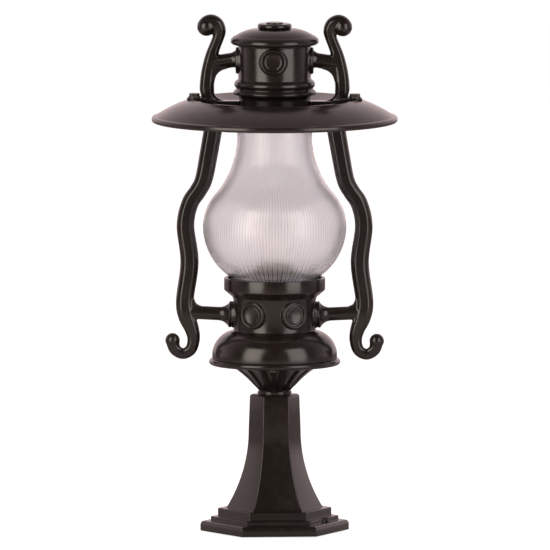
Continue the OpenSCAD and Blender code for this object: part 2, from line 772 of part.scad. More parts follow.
// ---------- crown and handles ----------

ring_level = land_z + skirt_h + 10;
skirt_r = lamp_hole_r + crown_wall + 0.3;

module crown() {
    color(black) difference() {
        union() {
            rotate_extrude() {
                translate([0, land_z]) square([skirt_r, skirt_h]);
                difference() {
                    translate([0, land_z + skirt_h]) square([lip_r, 7]);
                    translate([lip_r, land_z + skirt_h + 3 + (lip_r - skirt_r)]) circle(lip_r - skirt_r - 1);
                }
                translate([0, ring_level - ring_r]) square([crown_r, crown_top - ring_level + ring_r]);
                translate([crown_r, ring_level]) circle(ring_r);
                difference() {
                    translate([0, ring_level])
                        square([crown_r + ring_cove_r * 0.6, ring_r + ring_cove_r * 0.7]);
                    translate([crown_r + ring_cove_r, ring_level + ring_r + ring_cove_r * 0.7])
                        circle(ring_cove_r);
                }
            }
            medallions(crown_medallions, crown_r, crown_bar_level, crown_wall, handle_seat_r);
        }
        translate([0, 0, land_z - 1]) cylinder(r = lamp_hole_r, h = skirt_h + 2);
        translate([0, 0, land_z + skirt_h]) cylinder(r = crown_r - crown_wall, h = crown_h);
        at_handle_screws(bar = true) translate([0, 0, crown_r - crown_wall - 2])
            cylinder(r = screw_r + hole_gap, h = crown_wall + bar_seat_rise + 4);
        at_handle_screws(foot = true) translate([0, 0, lamp_hole_r - 2])
            cylinder(r = screw_r + hole_gap, h = crown_wall + 4);
    }
}

foot_screw_z = land_z + 4.8;
// Thickness of the handle's foot where it meets the skirt.
handle_foot_t = 8.6;

module at_handle_screws(bar = false, foot = false) both_sides() {
    if (bar) translate([0, 0, crown_bar_level]) rotate([0, 90, 0]) children();
    if (foot) translate([0, 0, foot_screw_z]) rotate([0, 90, 0]) children();
}

module handle_screws() {
    head_r = 4;
    drum_wall = crown_r - crown_wall;
    bar_head = sqrt(drum_wall * drum_wall - head_r * head_r) - thread_gap;
    foot_head = sqrt(lamp_hole_r * lamp_hole_r - head_r * head_r) - thread_gap;
    color(steel) {
        at_handle_screws(bar = true) translate([0, 0, bar_head])
            pan_screw(screw_r, crown_r + bar_seat_rise + 11 - bar_head, head_r, 2.6);
        at_handle_screws(foot = true) translate([0, 0, foot_head])
            pan_screw(screw_r, skirt_r + 9 - foot_head, head_r, 2.6);
    }
}

handle_half = handle_w / 2;
handle_x = crest_r - 15.8;
crown_seat_x = crown_r + bar_seat_rise;
// Handle's middle line from the skirt out along the brim and up: offset from the handle's upright,
// height above the land, half width.
handle_line = [[-26.2, 4.9, 0.43], [-17.7, 5.6, 0.43], [-9.2, 7.9, 0.61], [-2.7, 13, 0.91], [0, 21, 1.07],
               [-0.7, 36, 1.03], [-3, 49, 0.98], [-5.6, 59.5, 0.91], [-9, 69, 0.84], [-12.4, 77.5, 0.82],
               [-14.2, 86, 0.88], [-11.6, 93.8, 0.9], [-5.4, 97.4, 0.93], [1, 93.7, 0.8]];
handle_path = concat([[skirt_r - 1, land_z + 4.7, handle_half * 0.44]],
    [for (q = handle_line) [handle_x + q[0], land_z + q[1], handle_half * q[2]]]);
handle_end = [handle_x + 2.5, land_z + 91.1];
handle_bar_drop = 4.5;

module right_handle_casting() {
    bar_length = handle_x - 3 - crown_seat_x;
    difference() {
        union() {
            sweep(curve(handle_path, 4), bar_outline, arm_depth_share * 1.08);
            translate([handle_end[0], 0, handle_end[1]]) sphere(handle_ball_r, $fn = 40);
            translate([crown_seat_x - 2, 0, crown_bar_level])
                rotate([0, 90 + atan(handle_bar_drop / bar_length), 0])
                    cylinder(r = handle_bar_r, h = bar_length + 2);
            translate([handle_x - 9.5, 0, crown_bar_level - handle_bar_drop - handle_bar_r + 2])
                mirror([1, 0, 0]) mirror([0, 0, 1]) fillet(8, handle_bar_r * 1.3);
            translate([0, 0, land_z - 1])
                linear_extrude(height = ear_top - land_z + 1) ear_plan(handle_x - 4);
            translate([skirt_r - 1, -ear_w / 2, land_z - 1])
                cube([handle_x - skirt_r, ear_w, handle_foot_t + 1]);
        }
        below_brim_top();
        translate([0, 0, land_z - 1]) cylinder(r = skirt_r, h = skirt_h + 1);
        translate([0, 0, crown_bar_level]) rotate([0, 90, 0]) cylinder(r = 20, h = crown_seat_x);
        translate([bolt_x, 0, land_z - 1]) cylinder(r = bolt_r + hole_gap, h = 20);
        translate([skirt_r - 1, 0, foot_screw_z]) rotate([0, 90, 0])
            cylinder(r = screw_r + thread_gap, h = 11);
        translate([crown_seat_x - 1, 0, crown_bar_level]) rotate([0, 90, 0])
            cylinder(r = screw_r + thread_gap, h = 13);
    }
}

module right_handle() color(black) right_handle_casting();
module left_handle() color(black) rotate([0, 0, 180]) right_handle_casting();

// ---------- cap ----------

cap_edge_r = cap_r - cap_rim_r;
cap_centre_r = 17.4;
cap_centre_z = cap_top - cap_curve_r;
spigot_r = crown_r - crown_wall - 0.4;
cap_inside = cap_top - cap_wall;

// Everything under the cap's dome, from the axis out, drawn in by an inset.
module under_dome(inset) intersection() {
    union() {
        square([cap_centre_r + eps, cap_top - inset]);
        translate([cap_centre_r, cap_centre_z]) circle(cap_curve_r - inset, $fn = 180);
    }
    translate([0, cap_z]) square([cap_edge_r - inset, cap_dome_h]);
}

module cap_seal() {
    color(rubber) translate([0, 0, crown_top]) ring(crown_r - 0.3, crown_r - crown_wall + 0.4, seal_t);
}

module cap() {
    color(black) difference() {
        union() {
            rotate_extrude() {
                under_dome(0);
                translate([cap_edge_r, cap_z + cap_rim_r]) circle(cap_rim_r);
            }
            translate([0, 0, cap_z - spigot_h]) cylinder(r = spigot_r, h = spigot_h + 1);
        }
        rotate_extrude() intersection() {
            under_dome(cap_wall);
            square([spigot_r - 2.6, cap_inside]);
        }
        translate([0, 0, cap_z - spigot_h - 1]) cylinder(r = spigot_r - 2.6, h = spigot_h + 2);
        translate([0, 0, cap_inside - 1]) cylinder(r = bolt_r + hole_gap, h = cap_wall + 2);
    }
}

strap_t = 1.2;
strap_w = 10;

// Sprung strap: flat under the cap, down inside the spigot, then out to the crown's wall.
module spring_strap() {
    leg_r = spigot_r - 3.4;
    toe_r = crown_r - crown_wall - 0.7;
    outer = [[leg_r - 18, cap_inside], [leg_r, cap_z + 4], [leg_r, cap_z - spigot_h - 1],
             [toe_r, cap_z - spigot_h - 9], [toe_r - 3, cap_z - spigot_h - 14]];
    inner = [[toe_r - 4, cap_z - spigot_h - 13.4], [toe_r - strap_t - 0.2, cap_z - spigot_h - 9],
             [leg_r - strap_t, cap_z - spigot_h - 0.6], [leg_r - strap_t, cap_z + 3.3],
             [leg_r - 18.4, cap_inside - strap_t]];
    right = concat(outer, inner);
    left = reversed([for (q = right) [-q[0], q[1]]]);
    color(steel) difference() {
        rotate([90, 0, 90]) linear_extrude(height = strap_w, center = true) polygon(concat(right, left));
        translate([0, 0, cap_inside - 5]) cylinder(r = bolt_r + thread_gap, h = 10);
    }
}

module cap_bolt() {
    color(steel) translate([0, 0, cap_inside - strap_t])
        pan_screw(bolt_r, strap_t + cap_wall + lift_gap + finial_h - 0.5, 5, 3.5);
}

module finial_nut() {
    corner = finial_h / 2 - 0.2;
    color(black) translate([0, 0, cap_top + lift_gap]) difference() {
        union() {
            rotate_extrude() {
                square([finial_r - corner, finial_h]);
                for (z = [corner, finial_h - corner]) translate([finial_r - corner, z]) circle(corner);
                translate([0, corner]) square([finial_r, finial_h - 2 * corner]);
            }
            translate([0, 0, finial_h - 1]) rotate_extrude() {
                square([button_r - button_h, button_h + 1]);
                translate([button_r - button_h, 1]) intersection() {
                    circle(button_h);
                    translate([0, -1]) square(2 * button_h);
                }
            }
        }
        translate([0, 0, -1]) cylinder(r = bolt_r + thread_gap, h = finial_h + 1);
    }
}

// ---------- lamp ----------

plate_t = 1.6;
// Width of the plate's land round the lampholder, which its ring presses on.
plate_land = 7;
plate_r = globe_foot_r - glass_t - 1.3;
plate_top = ledge_z + plate_t + plate_rise;
mouth_z = globe_z + holder_mouth_z;
holder_bottom = mouth_z - holder_h;
shell_r = bulb_cap_r + thread_gap * 1.6;
shell_t = 0.6;
tip_z = mouth_z - bulb_cap_h - 1.5;
holder_screw_circle = ledge_r + 3;

module at_holder_screws() for (a = [90, 270])
    rotate([0, 0, a]) translate([holder_screw_circle, 0, 0]) children();

// Spun plate that closes the bowl's mouth and carries the lampholder.
module holder_plate() {
    foot = ledge_r - 2;
    head = holder_r + plate_land;
    color(black) difference() {
        rotate_extrude() polygon([[holder_r + hole_gap, plate_top], [holder_r + hole_gap, plate_top - plate_t],
            [head - 1, plate_top - plate_t], [foot - 1.4, ledge_z], [plate_r, ledge_z],
            [plate_r, ledge_z + plate_t], [foot, ledge_z + plate_t], [head, plate_top]]);
        at_holder_screws() translate([0, 0, ledge_z - 1]) cylinder(r = small_screw_r + hole_gap, h = 4);
    }
}

module holder_screws() {
    color(steel) at_holder_screws() translate([0, 0, ledge_z + plate_t]) mirror([0, 0, 1])
        pan_screw(small_screw_r, plate_t + ledge_t - 0.6, 2.4, 1.6);
}

module lampholder() {
    color("#2b2927") difference() {
        union() {
            translate([0, 0, holder_bottom]) cylinder(r = holder_r, h = holder_h);
            translate([0, 0, plate_top - plate_t - 5]) cylinder(r = holder_r + 3, h = 5);
        }
        translate([0, 0, tip_z - 2]) cylinder(r = shell_r + shell_t, h = bulb_cap_h + 10);
        for (x = [-lead_x, lead_x]) translate([x, 0, holder_bottom - 1])
            cylinder(r = lead_r + hole_gap, h = 7);
    }
}

// Threaded ring that clamps the lampholder on the plate.
module holder_ring() {
    color("#2b2927") translate([0, 0, plate_top]) ring(holder_r + 4.5, holder_r + thread_gap, 5);
}

module screw_shell() {
    color(brass) translate([0, 0, tip_z - 2]) difference() {
        cylinder(r = shell_r + shell_t, h = bulb_cap_h + 2);
        translate([0, 0, shell_t]) cylinder(r = shell_r, h = bulb_cap_h + 4);
        translate([0, 0, -1]) cylinder(r = 6, h = 4);
    }
}

module centre_contact() {
    color(brass) translate([0, 0, tip_z - 2]) cylinder(r = 4.5, h = 2 - lift_gap);
}

glass_z = tip_z + bulb_cap_h + 2;
bulb_level = glass_z + bulb_glass_h - bulb_r;
bulb_neck_r = bulb_cap_r + 1.4;

// Pear-shaped outline: a ball over a cone that narrows to the neck.
module pear(inset) {
    intersection() {
        translate([0, bulb_level]) circle(bulb_r - inset, $fn = 180);
        translate([0, glass_z]) square([bulb_r, bulb_glass_h + 1]);
    }
    lean = 28;
    polygon([[0, glass_z], [bulb_neck_r - inset, glass_z], [bulb_neck_r - inset, glass_z + 6],
             [(bulb_r - inset) * cos(lean), bulb_level - (bulb_r - inset) * sin(lean)], [0, bulb_level]]);
}

module bulb_glass() {
    color("#f4f1ee") rotate_extrude() difference() {
        pear(0);
        translate([0, -eps]) pear(1);
    }
}

module bulb_cap() {
    color(steel) translate([0, 0, tip_z + 2]) difference() {
        union() {
            translate([0, 0, 3]) cylinder(r = bulb_cap_r, h = bulb_cap_h - 3);
            cylinder(r1 = 8, r2 = bulb_cap_r, h = 3);
        }
        translate([0, 0, 4]) cylinder(r = bulb_cap_r - 0.5, h = bulb_cap_h);
    }
}

module bulb_contact() {
    color(brass) translate([0, 0, tip_z]) cylinder(r1 = 3.5, r2 = 6, h = 2);
}

// ---------- wiring in the bowl ----------

block_size = [28, 16, 12];
block_y = 49;
lead_x = 6;
lead_r = 1.4;

module at_block_screw() translate([0, block_y, 0]) children();
module at_earth_screw() rotate([0, 0, 215]) translate([boss_circle_r - 4, 0, 0]) children();

module terminal_block() {
    color("#e8e4da") translate([-block_size[0] / 2, block_y - block_size[1] / 2, bowl_z]) difference() {
        cube(block_size);
        for (x = [0.5 - lead_x / block_size[0], 0.5, 0.5 + lead_x / block_size[0]])
            translate([x * block_size[0], block_size[1] * 0.75, block_size[2] - 6]) cylinder(r = 2.2, h = 7);
        translate([block_size[0] / 2, block_size[1] / 2, -1]) cylinder(r = small_screw_r + hole_gap, h = 20);
    }
}

module terminal_screws() {
    color(brass) translate([0, block_y + block_size[1] / 4, bowl_z + block_size[2] - 6])
        for (x = [-lead_x, lead_x]) translate([x, 0, 0]) cylinder(r = 2, h = 5);
    color(steel) at_block_screw() translate([0, 0, bowl_z + block_size[2]]) mirror([0, 0, 1])
        pan_screw(small_screw_r, block_size[2] + 4, 2.6, 1.6);
}

module earth_screw() {
    color(brass) at_earth_screw() translate([0, 0, bowl_z]) mirror([0, 0, 1]) pan_screw(screw_r, 4.5, 4, 2.5);
}

// Lead from the terminal block to the lampholder, in the plane of its own terminal.
module lead() {
    start_y = block_y - block_size[1] / 4;
    high = holder_bottom + 5;
    low = bowl_z + block_size[2];
    bends = [[start_y, low], [start_y - 1, low + 5], [start_y - 7, low + 12], [start_y * 0.6, low + 22],
             [start_y * 0.22, low + 32], [1, high - 12], [0, high - 6], [0, high]];
    path = [for (q = bends) [q[0], q[1], lead_r]];
    rotate([0, 0, 90]) sweep(curve(path, 3), wire_outline, 1);
}

module live_lead() color("#6b3f24") translate([lead_x, 0, 0]) lead();
module neutral_lead() color("#2e5fa3") translate([-lead_x, 0, 0]) lead();

pedestal();
fluted_neck();
threaded_tube();
tube_washers();
tube_nuts();
bowl();
bowl_screws();
left_arm();
right_arm();
arm_screws();
foot_gasket();
globe();
top_gasket();
brim();
crown();
left_handle();
right_handle();
handle_screws();
brim_bolts();
brim_washers();
brim_nuts();
cap_seal();
cap();
spring_strap();
cap_bolt();
finial_nut();
holder_plate();
holder_screws();
lampholder();
holder_ring();
screw_shell();
centre_contact();
bulb_glass();
bulb_cap();
bulb_contact();
terminal_block();
terminal_screws();
earth_screw();
live_lead();
neutral_lead();
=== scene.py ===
"""Pillar lantern with a ribbed glass globe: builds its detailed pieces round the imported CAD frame.

Sizes inside the functions are in millimetres; meshes are written in metres, in the frame's own axes.
"""

import math

import bmesh
import bpy
import numpy as np
from bpy.props import FloatProperty, FloatVectorProperty, IntProperty, PointerProperty
from mathutils import Matrix, Vector


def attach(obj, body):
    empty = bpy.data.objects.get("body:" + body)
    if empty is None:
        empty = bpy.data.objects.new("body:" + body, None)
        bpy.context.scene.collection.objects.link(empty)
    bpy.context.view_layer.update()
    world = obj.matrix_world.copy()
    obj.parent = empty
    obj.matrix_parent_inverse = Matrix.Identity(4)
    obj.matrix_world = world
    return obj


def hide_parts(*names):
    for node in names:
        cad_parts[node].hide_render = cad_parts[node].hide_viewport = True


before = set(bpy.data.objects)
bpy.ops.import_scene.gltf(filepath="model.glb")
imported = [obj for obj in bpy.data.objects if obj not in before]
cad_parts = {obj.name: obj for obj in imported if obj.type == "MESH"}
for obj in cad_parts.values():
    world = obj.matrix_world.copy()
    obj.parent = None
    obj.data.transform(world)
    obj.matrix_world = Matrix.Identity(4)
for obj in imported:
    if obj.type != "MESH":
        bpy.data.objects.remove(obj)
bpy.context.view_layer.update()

bl_info = {
    "name": "Pillar Lantern",
    "version": (1, 0, 0),
    "blender": (4, 5, 0),
    "location": "3D View > Sidebar > Lantern",
    "description": "Builds the castings, spun brim and ribbed globe of a pillar lantern",
    "category": "Object",
}

MM = 0.001
# The mix node has sockets of every data type, most under one name, so its colour ones go by their place.
MIX_A, MIX_B, MIX_COLOUR = 6, 7, 2


# ---------- colour and nodes ----------

def linear(colour):
    """Linear RGBA of an sRGB hex colour, or of a colour setting, which is linear already."""
    if not isinstance(colour, str):
        return [*colour, 1.0]
    values = [int(colour[i:i + 2], 16) / 255 for i in (1, 3, 5)]
    return [v / 12.92 if v <= 0.04045 else ((v + 0.055) / 1.055) ** 2.4 for v in values] + [1.0]


def add(tree, kind, inputs=(), **settings):
    """A new node with its settings, and its sockets set or linked from (socket, value) pairs."""
    node = tree.nodes.new(kind)
    for key, value in settings.items():
        setattr(node, key, value)
    for socket, value in inputs:
        if isinstance(value, bpy.types.NodeSocket):
            tree.links.new(value, node.inputs[socket])
        else:
            node.inputs[socket].default_value = value
    return node


def finish_material(name, colour, roughness, tone=None, uneven=None, bumps=(), stretch=(1, 1, 1), **shader):
    """Principled material. tone is (second colour, patch mm), uneven is (roughness more or less, patch mm),
    bumps are (feature mm, height mm), and stretch scales the pattern along the object's axes."""
    material = bpy.data.materials.new(name)
    material.use_nodes = True
    tree = material.node_tree
    tree.nodes.clear()
    place = add(tree, "ShaderNodeTexCoord").outputs["Object"]
    place = add(tree, "ShaderNodeMapping", [("Vector", place), ("Scale", stretch)]).outputs["Vector"]
    sockets = [("Base Color", linear(colour)), ("Roughness", roughness)]
    if tone:
        second, patch = tone
        patches = add(tree, "ShaderNodeTexNoise", [("Vector", place), ("Scale", 1 / (patch * MM)),
                                                   ("Detail", 5.0), ("Roughness", 0.6)])
        ramp = add(tree, "ShaderNodeMapRange", [("Value", patches.outputs["Fac"]), ("From Min", 0.35),
                                                ("From Max", 0.65)])
        mix = add(tree, "ShaderNodeMix", [("Factor", ramp.outputs["Result"]), (MIX_A, linear(colour)),
                                          (MIX_B, linear(second))], data_type="RGBA")
        sockets[0] = ("Base Color", mix.outputs[MIX_COLOUR])
    if uneven:
        spread, patch = uneven
        patches = add(tree, "ShaderNodeTexNoise", [("Vector", place), ("Scale", 1 / (patch * MM)),
                                                   ("Detail", 3.0)])
        ramp = add(tree, "ShaderNodeMapRange", [
            ("Value", patches.outputs["Fac"]), ("From Min", 0.3), ("From Max", 0.7),
            ("To Min", roughness - spread), ("To Max", roughness + spread)])
        sockets[1] = ("Roughness", ramp.outputs["Result"])
    normal = None
    for feature, height in bumps:
        grain = add(tree, "ShaderNodeTexNoise", [("Vector", place), ("Scale", 1 / (feature * MM)),
                                                 ("Detail", 2.0)])
        bump = add(tree, "ShaderNodeBump", [("Height", grain.outputs["Fac"]), ("Distance", height * MM)])
        if normal:
            tree.links.new(normal, bump.inputs["Normal"])
        normal = bump.outputs["Normal"]
    if normal:
        sockets.append(("Normal", normal))
    sockets += [(key.replace("_", " "), value) for key, value in shader.items()]
    surface = add(tree, "ShaderNodeBsdfPrincipled", sockets)
    add(tree, "ShaderNodeOutputMaterial", [("Surface", surface.outputs["BSDF"])])
    return material


# ---------- shapes ----------

def arc(centre, radius, start, end, steps):
    """Points (r, z) on an arc, in degrees from the outward direction."""
    return [(centre[0] + radius * math.cos(math.radians(a)), centre[1] + radius * math.sin(math.radians(a)))
            for a in np.linspace(start, end, steps + 1)]


def rounded(corners, steps=6):
    """Closed outline in which each (r, z, fillet) becomes an arc; an (r, z) point stays as it is."""
    outline = []
    for i, corner in enumerate(corners):
        here = Vector(corner[:2])
        if len(corner) < 3:
            outline.append(tuple(here))
            continue
        back = Vector(corners[i - 1][:2]) - here
        ahead = Vector(corners[(i + 1) % len(corners)][:2]) - here
        half = back.angle(ahead) / 2
        reach = min(corner[2] / math.tan(half), 0.49 * back.length, 0.49 * ahead.length)
        radius = reach * math.tan(half)
        centre = here + (back.normalized() + ahead.normalized()).normalized() * radius / math.sin(half)
        start, end = (here + side.normalized() * reach - centre for side in (back, ahead))
        first = math.atan2(start.y, start.x)
        turn = (math.atan2(end.y, end.x) - first + math.pi) % (2 * math.pi) - math.pi
        outline += [(centre.x + radius * math.cos(first + turn * k / steps),
                     centre.y + radius * math.sin(first + turn * k / steps)) for k in range(steps + 1)]
    return outline


def skin(rows):
    """Shell (points, faces) from rows of points. The last row joins the first, unless that is one point."""
    count, across = len(rows), len(rows[0])
    pointed = (Vector(rows[0][0]) - Vector(rows[0][across // 2])).length < 1e-6
    faces = [(i * across + j, i * across + (j + 1) % across,
              (i + 1) % count * across + (j + 1) % across, (i + 1) % count * across + j)
             for i in range(count - pointed) for j in range(across)]
    return [tuple(p) for row in rows for p in row], faces


def ring(radii, z):
    """Points round Z at one height, one for each radius, evenly spaced from the X axis."""
    return [(r * math.cos(2 * math.pi * k / len(radii)), r * math.sin(2 * math.pi * k / len(radii)), z)
            for k, r in enumerate(radii)]


def turned(outline, columns=160):
    """Shell of a closed outline turned about Z."""
    return skin([ring([r] * columns, z) for r, z in outline])


def sphere(radius):
    """Shell of a ball."""
    return turned(arc((0, 0), radius, -90, 90, 24), 48)


def placed(shell, matrix):
    """The shell moved by a matrix."""
    return [tuple(matrix @ Vector(p)) for p in shell[0]], shell[1]


def along_x(x, z, tilt=0.0):
    """Matrix that lays a shell's Z along X from a point in the XZ plane, tilted down by degrees."""
    return Matrix.Translation((x, 0, z)) @ Matrix.Rotation(math.radians(90 + tilt), 4, "Y")


def sweep(path, outline, depth_share):
    """Shell of an outline swept along points (x, z, half width) in the XZ plane, with flat ends."""
    rows = []
    for i, (x, z, half) in enumerate(path):
        behind, ahead = path[max(i - 1, 0)], path[min(i + 1, len(path) - 1)]
        along = Vector((ahead[0] - behind[0], ahead[1] - behind[1])).normalized()
        rows.append([(x + half * s * along.y, half * t * depth_share, z - half * s * along.x)
                     for s, t in outline])
    ends = [[tuple(np.mean(row, axis=0))] * len(outline) for row in (rows[0], rows[-1])]
    return skin([ends[0]] + rows + [ends[1]])


def smooth_path(points, steps=6):
    """Catmull-Rom curve through the points."""
    p = [np.array(q, float) for q in points]
    p = [p[0]] + p + [p[-1]]
    path = []
    for a, b, c, d in zip(p, p[1:], p[2:], p[3:]):
        for t in np.arange(steps) / steps:
            path.append(tuple(0.5 * (2 * b + (c - a) * t + (2 * a - 5 * b + 4 * c - d) * t ** 2
                                     + (3 * b - a - 3 * c + d) * t ** 3)))
    return path + [tuple(points[-1])]


def web(corner_x, corner_z, radius, thickness, side_z, steps=8, buried=4):
    """Shell of a hollow-curved web in the corner on the near side of an upright, over or under a bar."""
    hollow = [(radius - radius * math.cos(a), radius - radius * math.sin(a))
              for a in np.linspace(0, math.pi / 2, steps + 1)]
    plan = [(-buried, -buried), (-buried, radius)] + hollow + [(radius, -buried)]
    edge = [(corner_x - x, corner_z + side_z * z) for x, z in plan]
    centre_x, centre_z = np.mean(edge, axis=0)
    half = thickness / 2
    near, far = ([(centre_x, y, centre_z) for _ in edge] for y in (-half, half))
    return skin([near, [(x, -half, z) for x, z in edge], [(x, half, z) for x, z in edge], far])


def ear(from_x, bolt_x, width, low, high, steps=12):
    """Shell of a flat ear out to a bolt, between two heights given by radius."""
    half = width / 2
    stations = [from_x + (bolt_x - from_x) * k / steps for k in range(steps + 1)]
    plan = [(x, half) for x in stations]
    plan += [(bolt_x + half * math.sin(a), half * math.cos(a))
             for a in np.linspace(0, math.pi, steps + 1)[1:-1]]
    plan += [(x, -half) for x in reversed(stations)]
    middle = (from_x + bolt_x) / 2
    rows = []
    for height, shares in ((low, (0, 0.5, 1)), (high, (1, 0.5, 0))):
        for share in shares:
            row = [(middle + (x - middle) * share, y * share) for x, y in plan]
            rows.append([(x, y, height(math.hypot(x, y))) for x, y in row])
    return skin(rows)


def soft_max(a, b, blend):
    """The greater of two heights, with the change between them faired over a blend length."""
    return 0.5 * (a + b + math.sqrt((a - b) ** 2 + blend ** 2))


def roundel(angle, drum_r, level, rings=70, columns=96):
    """Shell of a medallion faired into a drum."""
    skirt = MEDALLION_R + 2.6
    turn = math.radians(angle)
    out, side = Vector((math.cos(turn), math.sin(turn), 0)), Vector((-math.sin(turn), math.cos(turn), 0))
    rows = []
    for rho in list(np.linspace(0, skirt, rings)) + [skirt]:
        # Outside the medallion the shell dips just under the drum's skin, so no edge shows there.
        past = max(rho - MEDALLION_R, 0)
        face = drum_r + medallion_relief(min(rho, MEDALLION_R)) - 5 * past
        sunk = 0.35 * max(0, (past - 1.2) / 1.4) ** 2
        row = []
        for k in range(columns):
            u, v = rho * math.cos(2 * math.pi * k / columns), rho * math.sin(2 * math.pi * k / columns)
            drum = math.sqrt(drum_r ** 2 - u ** 2)
            row.append(out * (soft_max(face, drum - sunk, 0.9) - 0.05) + side * u + Vector((0, 0, level + v)))
        rows.append(row)
    rows[-1] = [p - out * 3 for p in rows[-1]]
    back = [out * (drum_r - 3.5) + Vector((0, 0, level))] * columns
    return skin(rows + [back])


def medallion_relief(rho):
    """Height of the medallion over its drum: a dished disc, its raised edge, a groove and the outer bead."""
    dish_r, edge_r, edge_half, bead_r, bead_half = 7.9, 8.9, 1.25, 13.1, 1.5
    dish = 1.15 - 0.6 * (1 - (rho / dish_r) ** 2) if rho < dish_r else 1.15 - 3 * (rho - dish_r)
    edge = math.sqrt(max(edge_half ** 2 - (rho - edge_r) ** 2, 0)) + 0.35
    bead = math.sqrt(max(bead_half ** 2 - (rho - bead_r) ** 2, 0)) + 0.7
    edge = edge if abs(rho - edge_r) < edge_half else 0
    bead = bead if abs(rho - bead_r) < bead_half else 0
    return 0.4 + soft_max(soft_max(dish, edge, 0.1), soft_max(bead, 0, 0.1), 0.1)


# ---------- pieces from shells ----------

def make_object(name, shells):
    """Object from shells in millimetres, with doubled points merged and faces turned outward."""
    points, faces = [], []
    for shell in shells:
        faces += [tuple(i + len(points) for i in face) for face in shell[1]]
        points += shell[0]
    mesh = bpy.data.meshes.new(name)
    mesh.from_pydata([Vector(p) * MM for p in points], [], faces)
    shape = bmesh.new()
    shape.from_mesh(mesh)
    bmesh.ops.remove_doubles(shape, verts=shape.verts, dist=1e-6)
    bmesh.ops.dissolve_degenerate(shape, edges=shape.edges, dist=1e-6)
    bmesh.ops.recalc_face_normals(shape, faces=shape.faces)
    shape.to_mesh(mesh)
    shape.free()
    made = bpy.data.objects.new(name, mesh)
    bpy.context.scene.collection.objects.link(made)
    return made


def stand_for(piece, body, nodes):
    """Makes a piece ride on a body and stand for its CAD nodes, which it hides."""
    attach(piece, body)
    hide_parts(*nodes)


def build(name, shells, slot, nodes, body="lantern", sharp=40):
    """Piece from shells, in the finish of its material slot."""
    piece = make_object(name, shells)
    smooth(piece, sharp)
    piece.data.materials.append(MATERIALS[slot])
    stand_for(piece, body, nodes)
    return piece


def opposite(piece, name, nodes):
    """Copy of a casting turned half round the axis, which stands for other CAD nodes."""
    mesh = piece.data.copy()
    mesh.transform(Matrix.Rotation(math.pi, 4, "Z"))
    twin = bpy.data.objects.new(name, mesh)
    bpy.context.scene.collection.objects.link(twin)
    stand_for(twin, "lantern", nodes)


def smooth(piece, sharp):
    """Smooth shading, with edges sharper than an angle kept crisp."""
    piece.data.polygons.foreach_set("use_smooth", [True] * len(piece.data.polygons))
    piece.data.set_sharp_from_angle(angle=math.radians(sharp))


def settle(piece, sharp=180):
    """Applies the piece's modifiers to its mesh."""
    made = bpy.data.meshes.new_from_object(piece.evaluated_get(bpy.context.evaluated_depsgraph_get()))
    old = piece.data
    piece.modifiers.clear()
    piece.data = made
    bpy.data.meshes.remove(old)
    smooth(piece, sharp)


def cast(piece, grain=0.6, passes=14):
    """Fuses the piece's shells into one skin with the soft inside corners of a sand casting."""
    fuse = piece.modifiers.new("Fuse", "REMESH")
    fuse.mode, fuse.voxel_size, fuse.use_smooth_shade = "VOXEL", grain * MM, True
    fettle = piece.modifiers.new("Fettle", "SMOOTH")
    fettle.factor, fettle.iterations = 0.5, passes
    settle(piece)


def drill(piece, cutters):
    """Cuts (radius, low z, high z, x, y) holes out of the piece."""
    for radius, low, high, x, y in cutters:
        plug = turned([(0, low), (radius, low), (radius, high), (0, high)], 48)
        cutter = make_object("drill", [placed(plug, Matrix.Translation((x, y, 0)))])
        cut = piece.modifiers.new("Drill", "BOOLEAN")
        cut.operation, cut.solver, cut.object = "DIFFERENCE", "EXACT", cutter
        settle(piece, 40)
        mesh = cutter.data
        bpy.data.objects.remove(cutter)
        bpy.data.meshes.remove(mesh)


# ---------- levels and profiles shared by several pieces ----------

# Seats of the neck, the bowl, the globe and the cap, the bars' levels, and other heights.
NECK_Z, FLANGE_Z, BOWL_Z, LEDGE_Z, COLLAR_TOP = 152.0, 184.5, 191.0, 270.0, 280.6
GLOBE_Z, BELLY_Z, GLOBE_TOP = 272.0, 337.0, 461.5
LAND_Z, CROWN_TOP, CAP_Z, CAP_TOP, FINIAL_Z = 466.5, 535.5, 536.9, 554.4, 554.6
BAR_Z, CROWN_BAR_Z = 242.0, 520.5
# The medallions that the side bars spring from lie this much lower than the others.
BAR_DROP, CROWN_BAR_DROP = 2.5, 1.2
# Centre and radius of the brim's arc, its crest and flat land, and the sheet's thickness.
BRIM_CENTRE, BRIM_CURVE, CREST_R, LAND_R, SHEET = (55.53, 347.41), 134.0, 90.0, 44.0, 2.0
DRUM_R, CROWN_R, SKIRT_R, CORE_R, BOLT_X, MEDALLION_R = 45.0, 40.0, 38.8, 34.5, 88.0, 14.7


def brim_height(r, inset=0.0):
    """Height of the brim's top surface at a radius, drawn in by an inset."""
    def arched(at):
        return BRIM_CENTRE[1] + math.sqrt((BRIM_CURVE - inset) ** 2 - (at - BRIM_CENTRE[0]) ** 2)

    land = LAND_Z - inset
    if r > CREST_R:
        return arched(r)
    return land + (arched(CREST_R) - land) * max(r - LAND_R, 0) / (CREST_R - LAND_R)


# Section of a cast bar, as shares of its half width and half depth: flat faces with soft ridges between them.
QUARTER = [(1, 0.24), (0.84, 0.68), (0.44, 1)]
BAR_SECTION = (QUARTER + [(-s, t) for s, t in reversed(QUARTER)] + [(-s, -t) for s, t in QUARTER]
               + [(s, -t) for s, t in reversed(QUARTER)])

